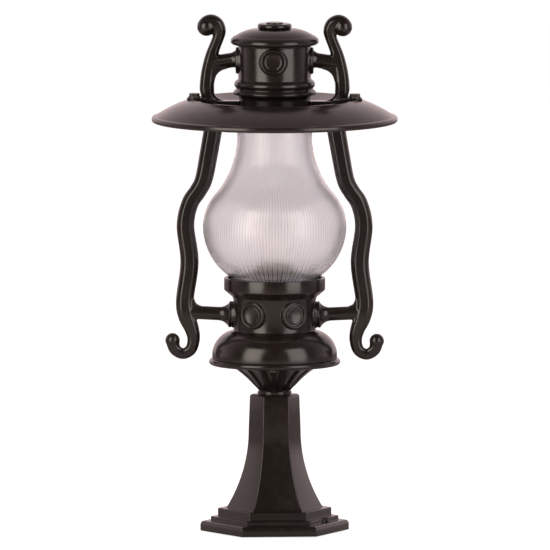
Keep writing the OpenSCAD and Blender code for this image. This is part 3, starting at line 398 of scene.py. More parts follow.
# Centre lines of the arms and the handles, as (x, z, half width): from the brim down to the hook, and from
# the foot on the brim up to the volute. Each ends in a ball.
ARM_PATH = [
    (63.5, 467.4, 10.3), (71.9, 418.5, 10.1), (77.7, 388.6, 9.8), (84.3, 375.1, 9.5), (93.0, 361.5, 9.5),
    (97.9, 337, 9.7), (93.4, 297.4, 10), (98.5, 256, 9.8), (96.5, 238, 9.7), (90.9, 223, 8), (89, 211.7, 6.9),
    (92.1, 200.5, 6.4), (100.8, 195.8, 6.1), (109.3, 200.6, 6.6), (112.1, 209.6, 7.4)]
ARM_BALL, ARM_BALL_R = (112.1, 0, 210.6), 8.1
HANDLE_PATH = [
    (37.8, 471.2, 3.3), (48, 471.4, 3.2), (56.5, 472.1, 3.2), (65, 474.4, 4.6), (71.5, 479.5, 6.8),
    (74.2, 487.5, 8), (73.5, 502.5, 7.7), (71.2, 515.5, 7.35), (68.6, 526, 6.8), (65.2, 535.5, 6.3),
    (62, 544, 6.4), (60.7, 551.8, 7.3), (63.8, 558.2, 8.4), (69.8, 561.2, 8.7), (75.4, 558.9, 8.4),
    (78.8, 554.8, 6.6)]
HANDLE_BALL, HANDLE_BALL_R = (74.7, 0, 556.4), 10.4


# ---------- settings ----------

def colour_setting(name, description, hex_colour):
    """Colour property with an sRGB hex default."""
    return FloatVectorProperty(name=name, description=description, subtype="COLOR", size=3, min=0, max=1,
                               default=linear(hex_colour)[:3])


def roughness_setting(name, description, default):
    """Roughness property."""
    return FloatProperty(name=name, description=description, default=default, min=0, max=1, subtype="FACTOR")


def length_setting(name, description, default, least, most):
    """Length property in metres."""
    return FloatProperty(name=name, description=description, default=default, min=least, max=most,
                         subtype="DISTANCE", unit="LENGTH")


def count_setting(name, description, default, least, most):
    """Whole number property."""
    return IntProperty(name=name, description=description, default=default, min=least, max=most)


class LanternFinishes(bpy.types.PropertyGroup):
    """Colours and gloss of the lantern's finishes."""
    paint: colour_setting("Casting paint", "Black gloss paint on the castings", "#181411")
    paint_roughness: roughness_setting("Paint roughness", "Roughness of the casting paint", 0.21)
    brim_paint: colour_setting("Brim paint", "Satin black paint on the brim", "#1d1716")
    brim_roughness: roughness_setting("Brim roughness", "Roughness of the brim's satin paint", 0.21)
    # The grooves' colour is painted shade, standing in for the dark that each rib draws beside its crest by
    # bending the light.
    groove: colour_setting("Glass grooves", "Tint of the grooves between the globe's ribs", "#dad0d6")
    glass_roughness: roughness_setting("Glass roughness", "Roughness of the globe's satin skin", 0.28)


class LanternSizes(bpy.types.PropertyGroup):
    """Sizes of the surface detail."""
    rib_count: count_setting("Globe ribs", "Ribs round the glass globe", 144, 48, 240)
    rib_depth: length_setting("Rib depth", "Depth of the globe's ribs", 0.0002, 0, 0.001)
    flute_count: count_setting("Neck flutes", "Flutes round the neck", 16, 8, 24)
    flute_depth: length_setting("Flute depth", "Depth of the neck's flutes", 0.0022, 0, 0.004)
    pedestal_turn: FloatProperty(name="Pedestal turn", description="Turn of the six-sided pedestal",
                                 default=math.radians(6), subtype="ANGLE", unit="ROTATION")
    arris: length_setting("Pedestal arris", "Radius of the pedestal's upright edges", 0.0016, 0.0005, 0.004)


# ---------- materials ----------

MATERIALS = {}


def pressed_glass():
    """Pressed soda glass, faintly lilac. Each rib is a lens, and the light and shade that it bends are
    painted
    into the colour: its crest pale and the groove beside it darker. The pressing's satin skin hides what is
    inside, except at the clearer foot."""
    finishes, sizes = bpy.context.scene.lantern_finishes, bpy.context.scene.lantern_sizes
    glass = finish_material(
        "Pressed ribbed soda glass", "#fffdfe", finishes.glass_roughness,
        IOR=1.3, Transmission_Weight=0.88, Coat_Weight=1.0, Coat_Roughness=0.1, Coat_IOR=1.5)
    tree = glass.node_tree
    surface = next(node for node in tree.nodes if node.type == "BSDF_PRINCIPLED")
    place = add(tree, "ShaderNodeTexCoord").outputs["Object"]
    height = add(tree, "ShaderNodeSeparateXYZ", [("Vector", place)]).outputs["Z"]
    around = add(tree, "ShaderNodeTexGradient", [("Vector", place)], gradient_type="RADIAL")
    count = add(tree, "ShaderNodeMath", [(0, around.outputs["Fac"]), (1, sizes.rib_count)],
                operation="MULTIPLY").outputs["Value"]
    # Pale crests and darker grooves are painted light and shade for the light that each rib bends; a
    # cloudiness over the whole pressing weakens the painted groove shade here and there.
    rib = add(tree, "ShaderNodeMath", [(0, count), (1, 0.5)], operation="PINGPONG")
    crest = add(tree, "ShaderNodeMapRange", [("Value", rib.outputs["Value"]), ("From Max", 0.34)],
                interpolation_type="SMOOTHSTEP")
    cloud = add(tree, "ShaderNodeTexNoise", [("Vector", place), ("Scale", 1 / (30 * MM)), ("Detail", 2.0)])
    haze = add(tree, "ShaderNodeMapRange", [("Value", cloud.outputs["Fac"]), ("From Min", 0.3),
                                            ("From Max", 0.7), ("To Min", 0.04), ("To Max", 0.2)])
    pale = add(tree, "ShaderNodeMath", [(0, crest.outputs["Result"]), (1, haze.outputs["Result"])],
               operation="MAXIMUM")
    painted_rib_shade = add(tree, "ShaderNodeMix", [("Factor", pale.outputs["Value"]), (MIX_A, linear(finishes.groove)),
                                       (MIX_B, linear("#fffdfe"))], data_type="RGBA")
    # Towards the foot a dark grey line is painted in every second groove, as painted shade for the dark bands
    # that the bent light draws there.
    painted_line_fade = add(tree, "ShaderNodeMapRange", [
        ("Value", height), ("From Min", 0.279), ("From Max", 0.312), ("To Min", 1.0), ("To Max", 0.0)],
        interpolation_type="SMOOTHSTEP")
    pair = add(tree, "ShaderNodeMath", [(0, count), (1, 1.0)], operation="PINGPONG")
    line = add(tree, "ShaderNodeMapRange", [("Value", pair.outputs["Value"]), ("From Min", 0.16),
                                            ("From Max", 0.34), ("To Min", 1.0), ("To Max", 0.0)])
    shade = add(tree, "ShaderNodeMath", [(0, painted_line_fade.outputs["Result"]), (1, line.outputs["Result"])],
                operation="MULTIPLY")
    shaded = add(tree, "ShaderNodeMix", [
        ("Factor", shade.outputs["Value"]), (MIX_A, painted_rib_shade.outputs[MIX_COLOUR]), (MIX_B, linear("#82767b"))],
        data_type="RGBA")
    tree.links.new(shaded.outputs[MIX_COLOUR], surface.inputs["Base Color"])
    # The foot was pressed against polished steel, and the satin begins above it.
    satin = add(tree, "ShaderNodeMapRange", [
        ("Value", height), ("From Min", 0.278), ("From Max", 0.302), ("To Min", 0.06),
        ("To Max", finishes.glass_roughness)], interpolation_type="SMOOTHSTEP")
    tree.links.new(satin.outputs["Result"], surface.inputs["Roughness"])
    return glass


def make_materials():
    """All the lantern's finishes, by name. The first three have the name of their material slot."""
    finishes = bpy.context.scene.lantern_finishes
    # Semi-gloss black stoving paint over a sand casting: fine orange peel, and the casting's slow waviness
    # under it, break up the long highlights.
    MATERIALS["black_paint"] = finish_material(
        "Gloss black paint on sand-cast iron", finishes.paint, finishes.paint_roughness,
        tone=("#1e1816", 18), uneven=(0.04, 9), bumps=[(14, 0.05), (2.6, 0.005)], IOR=1.5)
    # Satin black paint on spun steel: smoother metal, duller film, so the reflections spread.
    MATERIALS["brim_paint"] = finish_material(
        "Satin black paint on spun steel", finishes.brim_paint, finishes.brim_roughness,
        tone=("#241c1b", 30), uneven=(0.03, 16), bumps=[(30, 0.05), (1.8, 0.004)], IOR=1.5)
    MATERIALS["glass"] = pressed_glass()
    # Thin blown lamp glass: so thin that it hardly bends what shows through, with a faint slow waviness.
    MATERIALS["lamp"] = finish_material(
        "Blown clear lamp glass", "#fdfcfb", 0.04, tone=("#fbfaf9", 12), bumps=[(14, 0.05)],
        IOR=1.08, Transmission_Weight=1.0)
    # Bright zinc plate on mild steel: greyish metal with fine crystalline mottling.
    MATERIALS["zinc"] = finish_material(
        "Zinc-plated steel", "#b9bcc0", 0.345, tone=("#a3a6ab", 2.5), uneven=(0.075, 2),
        bumps=[(0.8, 0.006)], Metallic=1.0)
    # Screw and bolt heads painted over with the castings: gloss black, but coloured lighter than the castings
    # as a painted sheen on their small faces, with paler thin spots here and there.
    MATERIALS["head"] = finish_material(
        "Painted bolt head", "#35302d", 0.28, tone=("#4a4441", 2), uneven=(0.08, 2.5),
        bumps=[(1.4, 0.02)], IOR=1.5)
    # Turned brass of the lamp contacts: warm metal with light tarnish.
    MATERIALS["brass"] = finish_material(
        "Turned brass", "#c9a24e", 0.3, tone=("#a9853d", 3), uneven=(0.08, 2),
        bumps=[(0.6, 0.004)], stretch=(0.3, 0.3, 2.0), Metallic=1.0)
    # Moulded rubber gaskets: matt, faintly dusty.
    MATERIALS["rubber"] = finish_material(
        "Moulded black rubber", "#2b2a2a", 0.71, tone=("#383636", 4), uneven=(0.09, 3),
        bumps=[(0.7, 0.012)], IOR=1.52)
    # Moulded translucent silicone under the globe's foot: pale and waxy, lit through its edge.
    MATERIALS["silicone"] = finish_material(
        "Moulded translucent silicone", "#d9d0d0", 0.415, tone=("#cfc6c6", 5), uneven=(0.065, 4),
        bumps=[(0.9, 0.008)], IOR=1.41)
    # Compression-moulded phenolic lampholder: dark brown, a low sheen with a swirl in it.
    MATERIALS["phenolic"] = finish_material(
        "Moulded brown phenolic", "#3a2924", 0.36, tone=("#2c1e1a", 5), uneven=(0.06, 3),
        bumps=[(1.5, 0.01)], IOR=1.6)
    # Injection-moulded polyamide terminal block: off-white and slightly waxy.
    MATERIALS["block"] = finish_material(
        "Moulded polyamide", "#dedbd2", 0.46, tone=("#d2cec3", 5), uneven=(0.06, 3),
        bumps=[(1.0, 0.01)], IOR=1.53)
    # PVC insulation, extruded: a soft sheen with faint drawing lines.
    MATERIALS["brown lead"] = finish_material(
        "Brown PVC insulation", "#6b3f24", 0.42, tone=("#5d361e", 4), bumps=[(0.8, 0.008)],
        stretch=(1, 1, 0.2), IOR=1.53)
    MATERIALS["blue lead"] = finish_material(
        "Blue PVC insulation", "#2e5fa3", 0.42, tone=("#28538f", 4), bumps=[(0.8, 0.008)],
        stretch=(1, 1, 0.2), IOR=1.53)


# ---------- pieces ----------

class LanternOperator(bpy.types.Operator):
    """Base of the lantern's operators."""
    bl_options = {"REGISTER", "UNDO"}

    @property
    def sizes(self):
        return bpy.context.scene.lantern_sizes


class LANTERN_OT_finishes(LanternOperator):
    """Mix the paints, glasses, metals and mouldings"""
    bl_idname = "lantern.finishes"
    bl_label = "Finishes"

    def execute(self, context):
        make_materials()
        return {"FINISHED"}


class LANTERN_OT_pedestal(LanternOperator):
    """Cast the six-sided flared pedestal"""
    bl_idname = "lantern.pedestal"
    bl_label = "Pedestal"

    def execute(self, context):
        # Radii go to the corners; flat is the share of them that the flats have.
        flat = math.cos(math.radians(30))
        foot_r, waist_r, head_r, wall = 53.4, 28.9, 27.4, 5.0
        steps_top, flare_top, roof_z, turn = 26.5, 112.0, NECK_Z - 8, self.sizes.pedestal_turn
        drop, spread = flare_top - steps_top, (foot_r - waist_r) * flat
        curve = (drop ** 2 + spread ** 2) / (2 * spread)

        def flare(inset, foot_z, steps=24):
            radius = curve + inset
            return [(waist_r + (curve - radius * math.cos(a)) / flat, flare_top - radius * math.sin(a))
                    for a in np.linspace(0, math.asin((flare_top - foot_z) / radius), steps + 1)]

        def hexagon(r, z, steps=5):
            arris = min(self.sizes.arris / MM, 0.5 * r)
            reach = r - arris / flat
            points = []
            for middle in (turn + corner * math.pi / 3 for corner in range(6)):
                points += [(reach * math.cos(middle) + arris * math.cos(middle + a),
                            reach * math.sin(middle) + arris * math.sin(middle + a), z)
                           for a in np.linspace(-math.pi / 6, math.pi / 6, steps + 1)]
            return points

        outside = rounded([(0, NECK_Z), (head_r, NECK_Z, 3.3)] + flare(0, steps_top + 1.2) + [
            (foot_r + 0.2, steps_top, 1.2), (62.7, steps_top, 0.9), (62.7, 17.4, 0.7), (70.5, 17.4, 0.9),
            (70.5, 12.5, 0.7), (82, 12.5, 4.5), (82, 0, 0.5)])
        inside = flare(wall, 0)[::-1] + [(head_r - wall / flat, roof_z), (0, roof_z)]
        shell = skin([hexagon(r, z) for r, z in outside + inside])
        piece = build("pedestal_casting", [shell], "black_paint", ["pedestal"])
        # The tube's hole, and two fixing holes with their spot faces.
        cutters = [(5.3, NECK_Z - 12, NECK_Z + 4, 0, 0)]
        for angle in (-24, 156):
            x, y = 64 * math.cos(math.radians(angle)), 64 * math.sin(math.radians(angle))
            cutters += [(3.3, -2, 20, x, y), (8, 12.5, 17.5, x, y)]
        drill(piece, cutters)
        return {"FINISHED"}


class LANTERN_OT_neck(LanternOperator):
    """Cast the fluted neck and its flange"""
    bl_idname = "lantern.neck"
    bl_label = "Fluted neck"

    def execute(self, context):
        foot, head, radius, bore = Vector((18.2, 155.5)), Vector((51.0, FLANGE_Z)), 105.0, 5.3
        chord = head - foot
        centre = (foot + head) / 2 + Vector((chord.y, -chord.x)).normalized() * math.sqrt(
            radius ** 2 - chord.length ** 2 / 4)
        start, end = (math.atan2(p.y - centre.y, p.x - centre.x) for p in (foot, head))
        count, depth, cutter = self.sizes.flute_count, self.sizes.flute_depth / MM, 6.0
        head_angle = math.pi - math.asin((FLANGE_Z - cutter - 0.5 - centre.y) / (radius - cutter + depth))
        columns = 32 * count
        rows = [ring([r] * columns, z) for r, z in rounded(
            [(bore, NECK_Z), (18.5, NECK_Z, 0.5), (18.5, 155.3, 0.9), (17.6, 155.5, 0.4)])]
        for angle in np.linspace(start, end, 56):
            out = Vector((math.cos(angle), math.sin(angle)))
            row = []
            for k in range(columns):
                # The flutes stand half a pitch off the front, so a land faces each arm.
                turn = 2 * math.pi * k / columns
                off = ((k + columns / 4) % (columns / count)) - columns / count / 2
                side = (centre.x + radius * out.x) * off * 2 * math.pi / columns
                past = max(0, (head_angle - angle) * radius)
                gap = cutter ** 2 - side ** 2 - past ** 2
                cut = math.sqrt(gap) - (cutter - depth) if gap > (cutter - depth) ** 2 else 0
                at = centre + out * (radius + soft_max(cut, 0, 0.35) - 0.17)
                row.append((at.x * math.cos(turn), at.x * math.sin(turn), at.y))
            rows.append(row)
        rows += [ring([r] * columns, z) for r, z in rounded(
            [(53.5, FLANGE_Z), (72, FLANGE_Z, 3.1), (72, BOWL_Z, 3.1), (40, BOWL_Z), (38, 183.5), (11.9, 165),
             (bore, 165)])]
        build("neck_casting", [skin(rows)], "black_paint", ["fluted_neck"], sharp=50)
        return {"FINISHED"}


class LANTERN_OT_bowl(LanternOperator):
    """Cast the bowl with its drum, medallions and collar"""
    bl_idname = "lantern.bowl"
    bl_label = "Bowl"

    def execute(self, context):
        centre, dome_r, wall = (41.2, 195), 27.3, 4.0
        inner_r, throat, collar_r, collar_bore = 41, 38, 55.5, 51.8
        outline = rounded(
            [(64.5, BOWL_Z), (68.5, BOWL_Z, 0.6)] + arc(centre, dome_r, 0, 79, 28)
            + [(DRUM_R, 222.6, 2.4), (DRUM_R, 255), (46.4, 259.4, 3), (collar_r, 267, 1.6),
               (collar_r, COLLAR_TOP, 1.1), (collar_bore, COLLAR_TOP, 0.9), (collar_bore, LEDGE_Z, 1),
               (throat, LEDGE_Z, 0.5), (throat, 263.5), (inner_r, 263.5), (inner_r, 219)]
            + arc(centre, dome_r - wall, 85, 0, 20))
        shells = [turned(outline, 240)] + [
            roundel(angle, DRUM_R, BAR_Z - BAR_DROP * (angle % 180 == 0)) for angle in range(0, 360, 60)]
        build("bowl_casting", shells, "black_paint", ["bowl"])
        return {"FINISHED"}


class LANTERN_OT_arms(LanternOperator):
    """Cast the two curved side arms with their hooks"""
    bl_idname = "lantern.arms"
    bl_label = "Side arms"

    def execute(self, context):
        seat, upright, bar, flange_r, rise = 47.5, 97.9, 7.5, 14.3, 2.8
        points, faces = sweep(smooth_path(ARM_PATH), BAR_SECTION, 0.84)
        points = [(x, y, min(z, brim_height(math.hypot(x, y), SHEET) - 0.1)) for x, y, z in points]
        # The side bar flares into its seat on the bowl, and rises a little towards the upright.
        root = rounded([(0, -1), (flange_r, -1), (flange_r, 0.6)] + arc((21, 14), 13.5, 244, 180, 10)
                       + [(bar, upright - seat), (0, upright - seat)])
        # The hollow inside corners of the bar: larger above than below.
        shells = [(points, faces), placed(turned(root, 72), along_x(seat, BAR_Z - BAR_DROP, -rise)),
                  placed(sphere(ARM_BALL_R), Matrix.Translation(ARM_BALL)),
                  web(upright - 9.5, BAR_Z + bar - 1, 9, bar * 1.5, 1),
                  web(upright - 11, BAR_Z - bar + 1, 5, bar * 1.5, -1),
                  ear(54.5, BOLT_X, 17, lambda r: 465.4, lambda r: brim_height(r, SHEET) - 0.1)]
        piece = build("arm_casting_right", shells, "black_paint", ["right_arm"])
        cast(piece)
        opposite(piece, "arm_casting_left", ["left_arm"])
        return {"FINISHED"}


class LANTERN_OT_globe(LanternOperator):
    """Press the ribbed glass globe"""
    bl_idname = "lantern.globe"
    bl_label = "Ribbed globe"

    def execute(self, context):
        ribs, depth, wall = self.sizes.rib_count, self.sizes.rib_depth / MM, 3.0
        # Centres and radii of the lower belly, the upper belly and the throat's hollow curve.
        lower, lower_r, upper, upper_r, throat_r = (11.7, BELLY_Z), 67, (25.7, BELLY_Z), 53, 100.0
        neck, belly = 41.0, lower[0] + lower_r
        throat_x = neck + throat_r
        rise = math.sqrt((upper_r + throat_r) ** 2 - (throat_x - upper[0]) ** 2)
        meet = math.degrees(math.atan2(rise, throat_x - upper[0]))

        def side(inset, foot_r):
            reach = lower_r - inset
            foot = math.degrees(math.asin(math.sqrt(1 - ((foot_r - lower[0]) / reach) ** 2)))
            return ([(foot_r, GLOBE_Z + 0.4)] + arc(lower, reach, -foot, 0, 26)
                    + arc(upper, upper_r - inset, 0, meet, 22)[1:]
                    + arc((throat_x, BELLY_Z + rise), throat_r + inset, 180 + meet, 180, 18)[1:]
                    + [(neck - inset, GLOBE_TOP - 0.4)])

        # Six columns to a rib, the first on its groove.
        columns = 6 * ribs
        waves = [0.5 + 0.5 * math.cos(2 * math.pi * k / 6) for k in range(6)]
        rows = []
        for r, z in side(0, 48.5):
            # The ribs fade out at the plain foot and under the brim.
            share = min(1, max(0, (z - 276) / 5)) * min(1, max(0, (GLOBE_TOP - 3 - z) / 5))
            share *= 0.55 + 0.45 * (r - neck) / (belly - neck)
            rows.append(ring([r - depth * share * waves[k % 6] for k in range(columns)], z))
        rows += [ring([r] * columns, z) for r, z in reversed(side(wall, 45.5))]
        build("ribbed_globe", [skin(rows)], "glass", ["globe"], sharp=60)
        return {"FINISHED"}


class LANTERN_OT_brim(LanternOperator):
    """Spin the wide brim with its rolled rim"""
    bl_idname = "lantern.brim"
    bl_label = "Brim"

    def execute(self, context):
        def curve(inset, far):
            start, end = (math.degrees(math.acos((r - BRIM_CENTRE[0]) / (BRIM_CURVE - inset)))
                          for r in (CREST_R + 4, far))
            return arc(BRIM_CENTRE, BRIM_CURVE - inset, start, end, 30)

        rim_r, rim_top, rim_z, rim_bore = 134.95, 457.6, 451.6, 129.2
        outline = rounded(
            [(CORE_R, LAND_Z, 0.6), (LAND_R, LAND_Z, 12), (CREST_R, brim_height(CREST_R) + 0.4, 24)]
            + curve(0, 131)
            + [(rim_r, rim_top, 2.9), (rim_r, rim_z, 2.9), (rim_bore, rim_z, 2.8), (rim_bore, 457, 0.8)]
            + curve(SHEET, 128)[::-1]
            + [(CREST_R, brim_height(CREST_R, SHEET) + 0.3, 24), (LAND_R, LAND_Z - SHEET, 12),
               (CORE_R, LAND_Z - SHEET, 0.6)], 10)
        build("spun_brim", [turned(outline, 300)], "brim_paint", ["brim"], sharp=50)
        return {"FINISHED"}


class LANTERN_OT_crown(LanternOperator):
    """Cast the crown with its bead, flange and medallions"""
    bl_idname = "lantern.crown"
    bl_label = "Crown"

    def execute(self, context):
        bore, flange_z = 36, 483.5
        outline = rounded(
            [(CORE_R, LAND_Z), (SKIRT_R, LAND_Z), (SKIRT_R, 480.5, 5), (45.2, 482.6, 0.7), (45.4, 485.4, 1.2),
             (41.6, 488.7, 1.4)] + arc((CROWN_R, 493.5), 4.4, -42, 60, 14) + arc((44, 500.7), 4, 245, 180, 8)
            + [(CROWN_R, 503), (CROWN_R, CROWN_TOP, 0.5), (bore, CROWN_TOP, 0.5), (bore, flange_z, 0.5),
               (CORE_R, flange_z, 0.5)])
        shells = [turned(outline, 220)] + [
            roundel(angle, CROWN_R, CROWN_BAR_Z - CROWN_BAR_DROP * (angle % 180 == 0))
            for angle in range(0, 360, 90)]
        build("crown_casting", shells, "black_paint", ["crown"])
        return {"FINISHED"}


class LANTERN_OT_handles(LanternOperator):
    """Cast the two scrolled top handles"""
    bl_idname = "lantern.handles"
    bl_label = "Scrolled handles"

    def execute(self, context):
        seat, upright, bar, drop = 42.5, 74.2, 8.2, 4.5
        length = upright - 3 - seat
        tilt = math.degrees(math.atan(drop / length))
        points, faces = sweep(smooth_path(HANDLE_PATH), BAR_SECTION, 0.907)
        points = [(x, y, max(z, brim_height(math.hypot(x, y)) + 0.05)) for x, y, z in points]
        # The side bar flattens towards the upright, so that its end stays inside it.
        root = rounded([(0, -1), (bar + 2, -1), (bar + 2, 0.5), (bar, 5, 4), (bar, length + 2),
                        (0, length + 2)])
        side_bar = placed(turned(root, 64), along_x(seat - 1.5, CROWN_BAR_Z, tilt))
        side_bar = [(x, y * (1 - 0.009 * max(0, x - 50)), z) for x, y, z in side_bar[0]], side_bar[1]
        shells = [(points, faces), side_bar, placed(sphere(HANDLE_BALL_R), Matrix.Translation(HANDLE_BALL)),
                  web(upright - 8.5, CROWN_BAR_Z - drop - bar + 2.5, 14, bar * 1.5, -1),
                  web(upright - 9.5, CROWN_BAR_Z - drop + bar - 2.2, 6.5, bar * 1.5, 1),
                  ear(38.9, BOLT_X, 17, lambda r: brim_height(r) + 0.05,
                      lambda r: max(475.1, 478.5 - max(0, 0.35 * (80 - r))))]
        piece = build("handle_casting_right", shells, "black_paint", ["right_handle"])
        cast(piece)
        opposite(piece, "handle_casting_left", ["left_handle"])
        return {"FINISHED"}


class LANTERN_OT_cap(LanternOperator):
    """Turn the lift-off cap and the nut on top of it"""
    bl_idname = "lantern.cap"
    bl_label = "Cap and finial"

    def execute(self, context):
        dome_r, wall, lip_r, spigot_r, bore, spigot_z = 46.2, 4, 4.1, 35.4, 33, 530.1
        centre, lip = (17.4, CAP_TOP - dome_r), (48.4 - lip_r, CAP_Z + lip_r)
        dome_end = math.degrees(math.acos((lip[0] - 1.5 - centre[0]) / dome_r))
        outline = rounded(
            [(bore, spigot_z, 0.6), (spigot_r, spigot_z, 0.6), (spigot_r, CAP_Z, 0.4), (lip[0], CAP_Z)]
            + arc(lip, lip_r, -80, 58, 14) + [(lip[0] + 0.9, 545.7, 1.5)]
            + arc(centre, dome_r, dome_end, 90, 30)
            + [(0, CAP_TOP), (0, CAP_TOP - wall), (centre[0], CAP_TOP - wall)]
            + arc(centre, dome_r - wall, 88, 70, 8) + [(bore, 545, 1)], 5)
        build("cap_casting", [turned(outline, 200)], "black_paint", ["cap"], "cap", 50)
        low, high, nut_r, boss_r = FINIAL_Z, FINIAL_Z + 5.4, 18.7, 9.3
        finial = rounded([(0, low), (nut_r, low, 2.4), (nut_r, high, 2.4), (12.5, high - 0.1, 1),
                          (boss_r, high, 0.5), (boss_r, high + 1.4, 1.1), (3, high + 1.2, 4),
                          (0, high + 1.1)])
        build("finial_casting", [turned(finial, 120)], "black_paint", ["finial_nut"], "finial", 50)
        return {"FINISHED"}


class LANTERN_OT_fittings(LanternOperator):
    """Give the fastenings, seals and lamp parts their finishes"""
    bl_idname = "lantern.fittings"
    bl_label = "Fittings"

    FINISHES = {
        "zinc": ["threaded_tube", "tube_washers", "tube_nuts", "arm_screws", "handle_screws",
                 "spring_strap", "cap_bolt", "holder_plate", "holder_screws", "earth_screw"],
        "head": ["bowl_screws", "brim_bolts", "brim_washers", "brim_nuts"],
        "rubber": ["top_gasket", "cap_seal"],
        "phenolic": ["lampholder", "holder_ring"],
        "brass": ["screw_shell", "centre_contact", "bulb_cap", "bulb_contact", "terminal_screws"],
        "lamp": ["bulb_glass"],
        "silicone": ["foot_gasket"],
        "block": ["terminal_block"],
        "brown lead": ["live_lead"],
        "blue lead": ["neutral_lead"],
    }

    def execute(self, context):
        for finish, names in self.FINISHES.items():
            for name in names:
                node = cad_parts[name]
                node.data.materials.clear()
                node.data.materials.append(MATERIALS[finish])
        return {"FINISHED"}


# ---------- stage ----------

def aim(thing, target, azimuth, elevation, distance):
    """Puts a lamp or camera at a distance from a target, facing it. Azimuth is from the front, towards the
    right, and both angles are in degrees."""
    turn, rise = math.radians(azimuth), math.radians(elevation)
    way = Vector((math.sin(turn) * math.cos(rise), -math.cos(turn) * math.cos(rise), math.sin(rise)))
    thing.location = Vector(target) + way * distance
    thing.rotation_euler = (-way).to_track_quat("-Z", "Y").to_euler()
    bpy.context.scene.collection.objects.link(thing)


def soft_box(name, azimuth, elevation, radiance, colour):
    """Upright soft box round the lantern's middle."""
    width, height, distance = 0.95, 1.75, 1.6
    light = bpy.data.lights.new(name, "AREA")
    light.shape, light.size, light.size_y = "RECTANGLE", width, height
    light.energy = radiance * math.pi * width * height
    light.color = linear(colour)[:3]
    lamp = bpy.data.objects.new(name, light)
    # Kept out of the glass, where their images would sparkle on the fittings inside.
    lamp.visible_transmission = False
    aim(lamp, (0, 0, 0.29), azimuth, elevation, distance)


def plain_view(tree):
    """Socket that is 1 for what the camera sees, straight or through the glass, and 0 for other light."""
    path = add(tree, "ShaderNodeLightPath").outputs
    return add(tree, "ShaderNodeMath", [(0, path["Is Camera Ray"]), (1, path["Is Transmission Ray"])],
               operation="MAXIMUM").outputs["Value"]


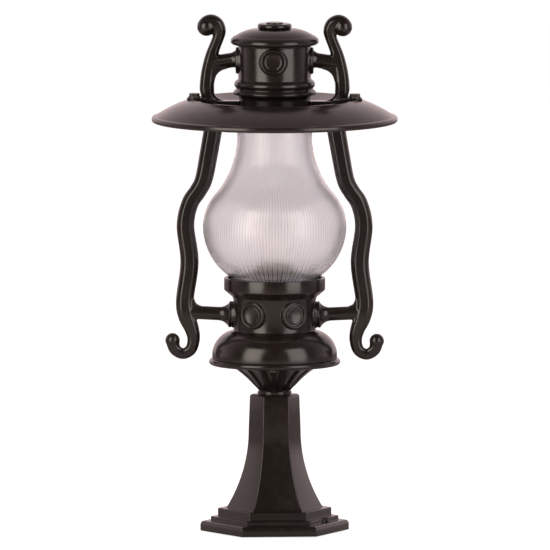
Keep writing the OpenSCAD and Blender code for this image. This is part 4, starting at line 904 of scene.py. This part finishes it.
class LANTERN_OT_stage(LanternOperator):
    """Set up the pale floor, the soft lights and the camera"""
    bl_idname = "lantern.stage"
    bl_label = "Stage"

    def execute(self, context):
        scene = bpy.context.scene
        scene.view_settings.view_transform = "Standard"
        self.light_world(scene)
        self.lay_floor()
        soft_box("Left soft box", -40, 14, 4.3, "#fff4e6")
        soft_box("Right soft box", 46, 14, 3.1, "#fff8f0")
        self.place_camera(scene)
        return {"FINISHED"}

    def light_world(self, scene):
        """White behind the lantern, greyer overhead and dark in front, with plain white for the camera."""
        world = bpy.data.worlds.new("Studio")
        world.use_nodes = True
        tree = world.node_tree
        tree.nodes.clear()
        place = add(tree, "ShaderNodeTexCoord").outputs["Generated"]
        way = add(tree, "ShaderNodeSeparateXYZ", [("Vector", place)])
        behind = add(tree, "ShaderNodeMapRange", [
            ("Value", way.outputs["Y"]), ("From Min", -0.45), ("From Max", 0.65), ("To Min", 0.09),
            ("To Max", 1.0)], interpolation_type="SMOOTHSTEP")
        overhead = add(tree, "ShaderNodeMapRange", [("Value", way.outputs["Z"]), ("From Min", 0.1),
                                                    ("From Max", 0.8), ("To Min", 1.25), ("To Max", 0.64)])
        level = add(tree, "ShaderNodeMath", [(0, behind.outputs["Result"]), (1, overhead.outputs["Result"])],
                    operation="MULTIPLY")
        room = add(tree, "ShaderNodeBackground", [("Color", linear("#f3dcdd")),
                                                  ("Strength", level.outputs["Value"])])
        plain = add(tree, "ShaderNodeBackground", [("Color", linear("#ffffff")), ("Strength", 1.0)])
        mix = add(tree, "ShaderNodeMixShader", [(0, plain_view(tree)), (1, room.outputs["Background"]),
                                                (2, plain.outputs["Background"])])
        add(tree, "ShaderNodeOutputWorld", [("Surface", mix.outputs["Shader"])])
        scene.world = world

    def lay_floor(self):
        """Round pale floor that turns white for the camera but keeps the lantern's soft shadow."""
        floor = make_object("floor", [turned([(r, -0.2) for r in (0, 300, 800, 1600, 3000, 5000)], 64)])
        material = bpy.data.materials.new("Pale seamless paper")
        material.use_nodes = True
        tree = material.node_tree
        tree.nodes.clear()
        place = add(tree, "ShaderNodeTexCoord").outputs["Object"]
        fibre = add(tree, "ShaderNodeTexNoise", [("Vector", place), ("Scale", 1 / (2 * MM)), ("Detail", 3.0)])
        grain = add(tree, "ShaderNodeBump", [("Height", fibre.outputs["Fac"]), ("Distance", 0.05 * MM)])
        paper = add(tree, "ShaderNodeBsdfDiffuse", [("Color", linear("#dcd8d8")),
                                                    ("Normal", grain.outputs["Normal"])])
        level = add(tree, "ShaderNodeMath", [(0, plain_view(tree)), (1, 0.86)], operation="MULTIPLY")
        glow = add(tree, "ShaderNodeEmission", [("Color", linear("#ffffff")),
                                                ("Strength", level.outputs["Value"])])
        both = add(tree, "ShaderNodeAddShader", [(0, paper.outputs["BSDF"]), (1, glow.outputs["Emission"])])
        add(tree, "ShaderNodeOutputMaterial", [("Surface", both.outputs["Shader"])])
        floor.data.materials.append(material)

    def place_camera(self, scene):
        """Long lens a little above the horizon, almost square on. The frame is 603.5 mm wide at the axis."""
        distance, width, middle = 25.0, 0.6035, (0.0004, 0, 0.2829)
        camera = bpy.data.cameras.new("camera")
        camera.sensor_width = 36
        camera.lens = camera.sensor_width * distance / width
        camera.clip_end = 60
        scene.camera = bpy.data.objects.new("camera", camera)
        aim(scene.camera, middle, 2, 5.8, distance)


OPERATORS = [LANTERN_OT_finishes, LANTERN_OT_pedestal, LANTERN_OT_neck, LANTERN_OT_bowl, LANTERN_OT_arms,
             LANTERN_OT_globe, LANTERN_OT_brim, LANTERN_OT_crown, LANTERN_OT_handles, LANTERN_OT_cap,
             LANTERN_OT_fittings, LANTERN_OT_stage]


class LANTERN_PT_panel(bpy.types.Panel):
    """The lantern's settings and operators in the sidebar"""
    bl_idname = "LANTERN_PT_panel"
    bl_label = "Pillar Lantern"
    bl_space_type = "VIEW_3D"
    bl_region_type = "UI"
    bl_category = "Lantern"

    def draw(self, context):
        for group in (context.scene.lantern_finishes, context.scene.lantern_sizes):
            for name in group.__annotations__:
                self.layout.prop(group, name)
        for operator in OPERATORS:
            self.layout.operator(operator.bl_idname)


CLASSES = [LanternFinishes, LanternSizes, *OPERATORS, LANTERN_PT_panel]


def register():
    for cls in CLASSES:
        bpy.utils.register_class(cls)
    bpy.types.Scene.lantern_finishes = PointerProperty(type=LanternFinishes)
    bpy.types.Scene.lantern_sizes = PointerProperty(type=LanternSizes)


def unregister():
    del bpy.types.Scene.lantern_sizes
    del bpy.types.Scene.lantern_finishes
    for cls in reversed(CLASSES):
        bpy.utils.unregister_class(cls)


def main():
    register()
    for operator in OPERATORS:
        group, name = operator.bl_idname.split(".")
        getattr(getattr(bpy.ops, group), name)()


if __name__ == "__main__":
    main()
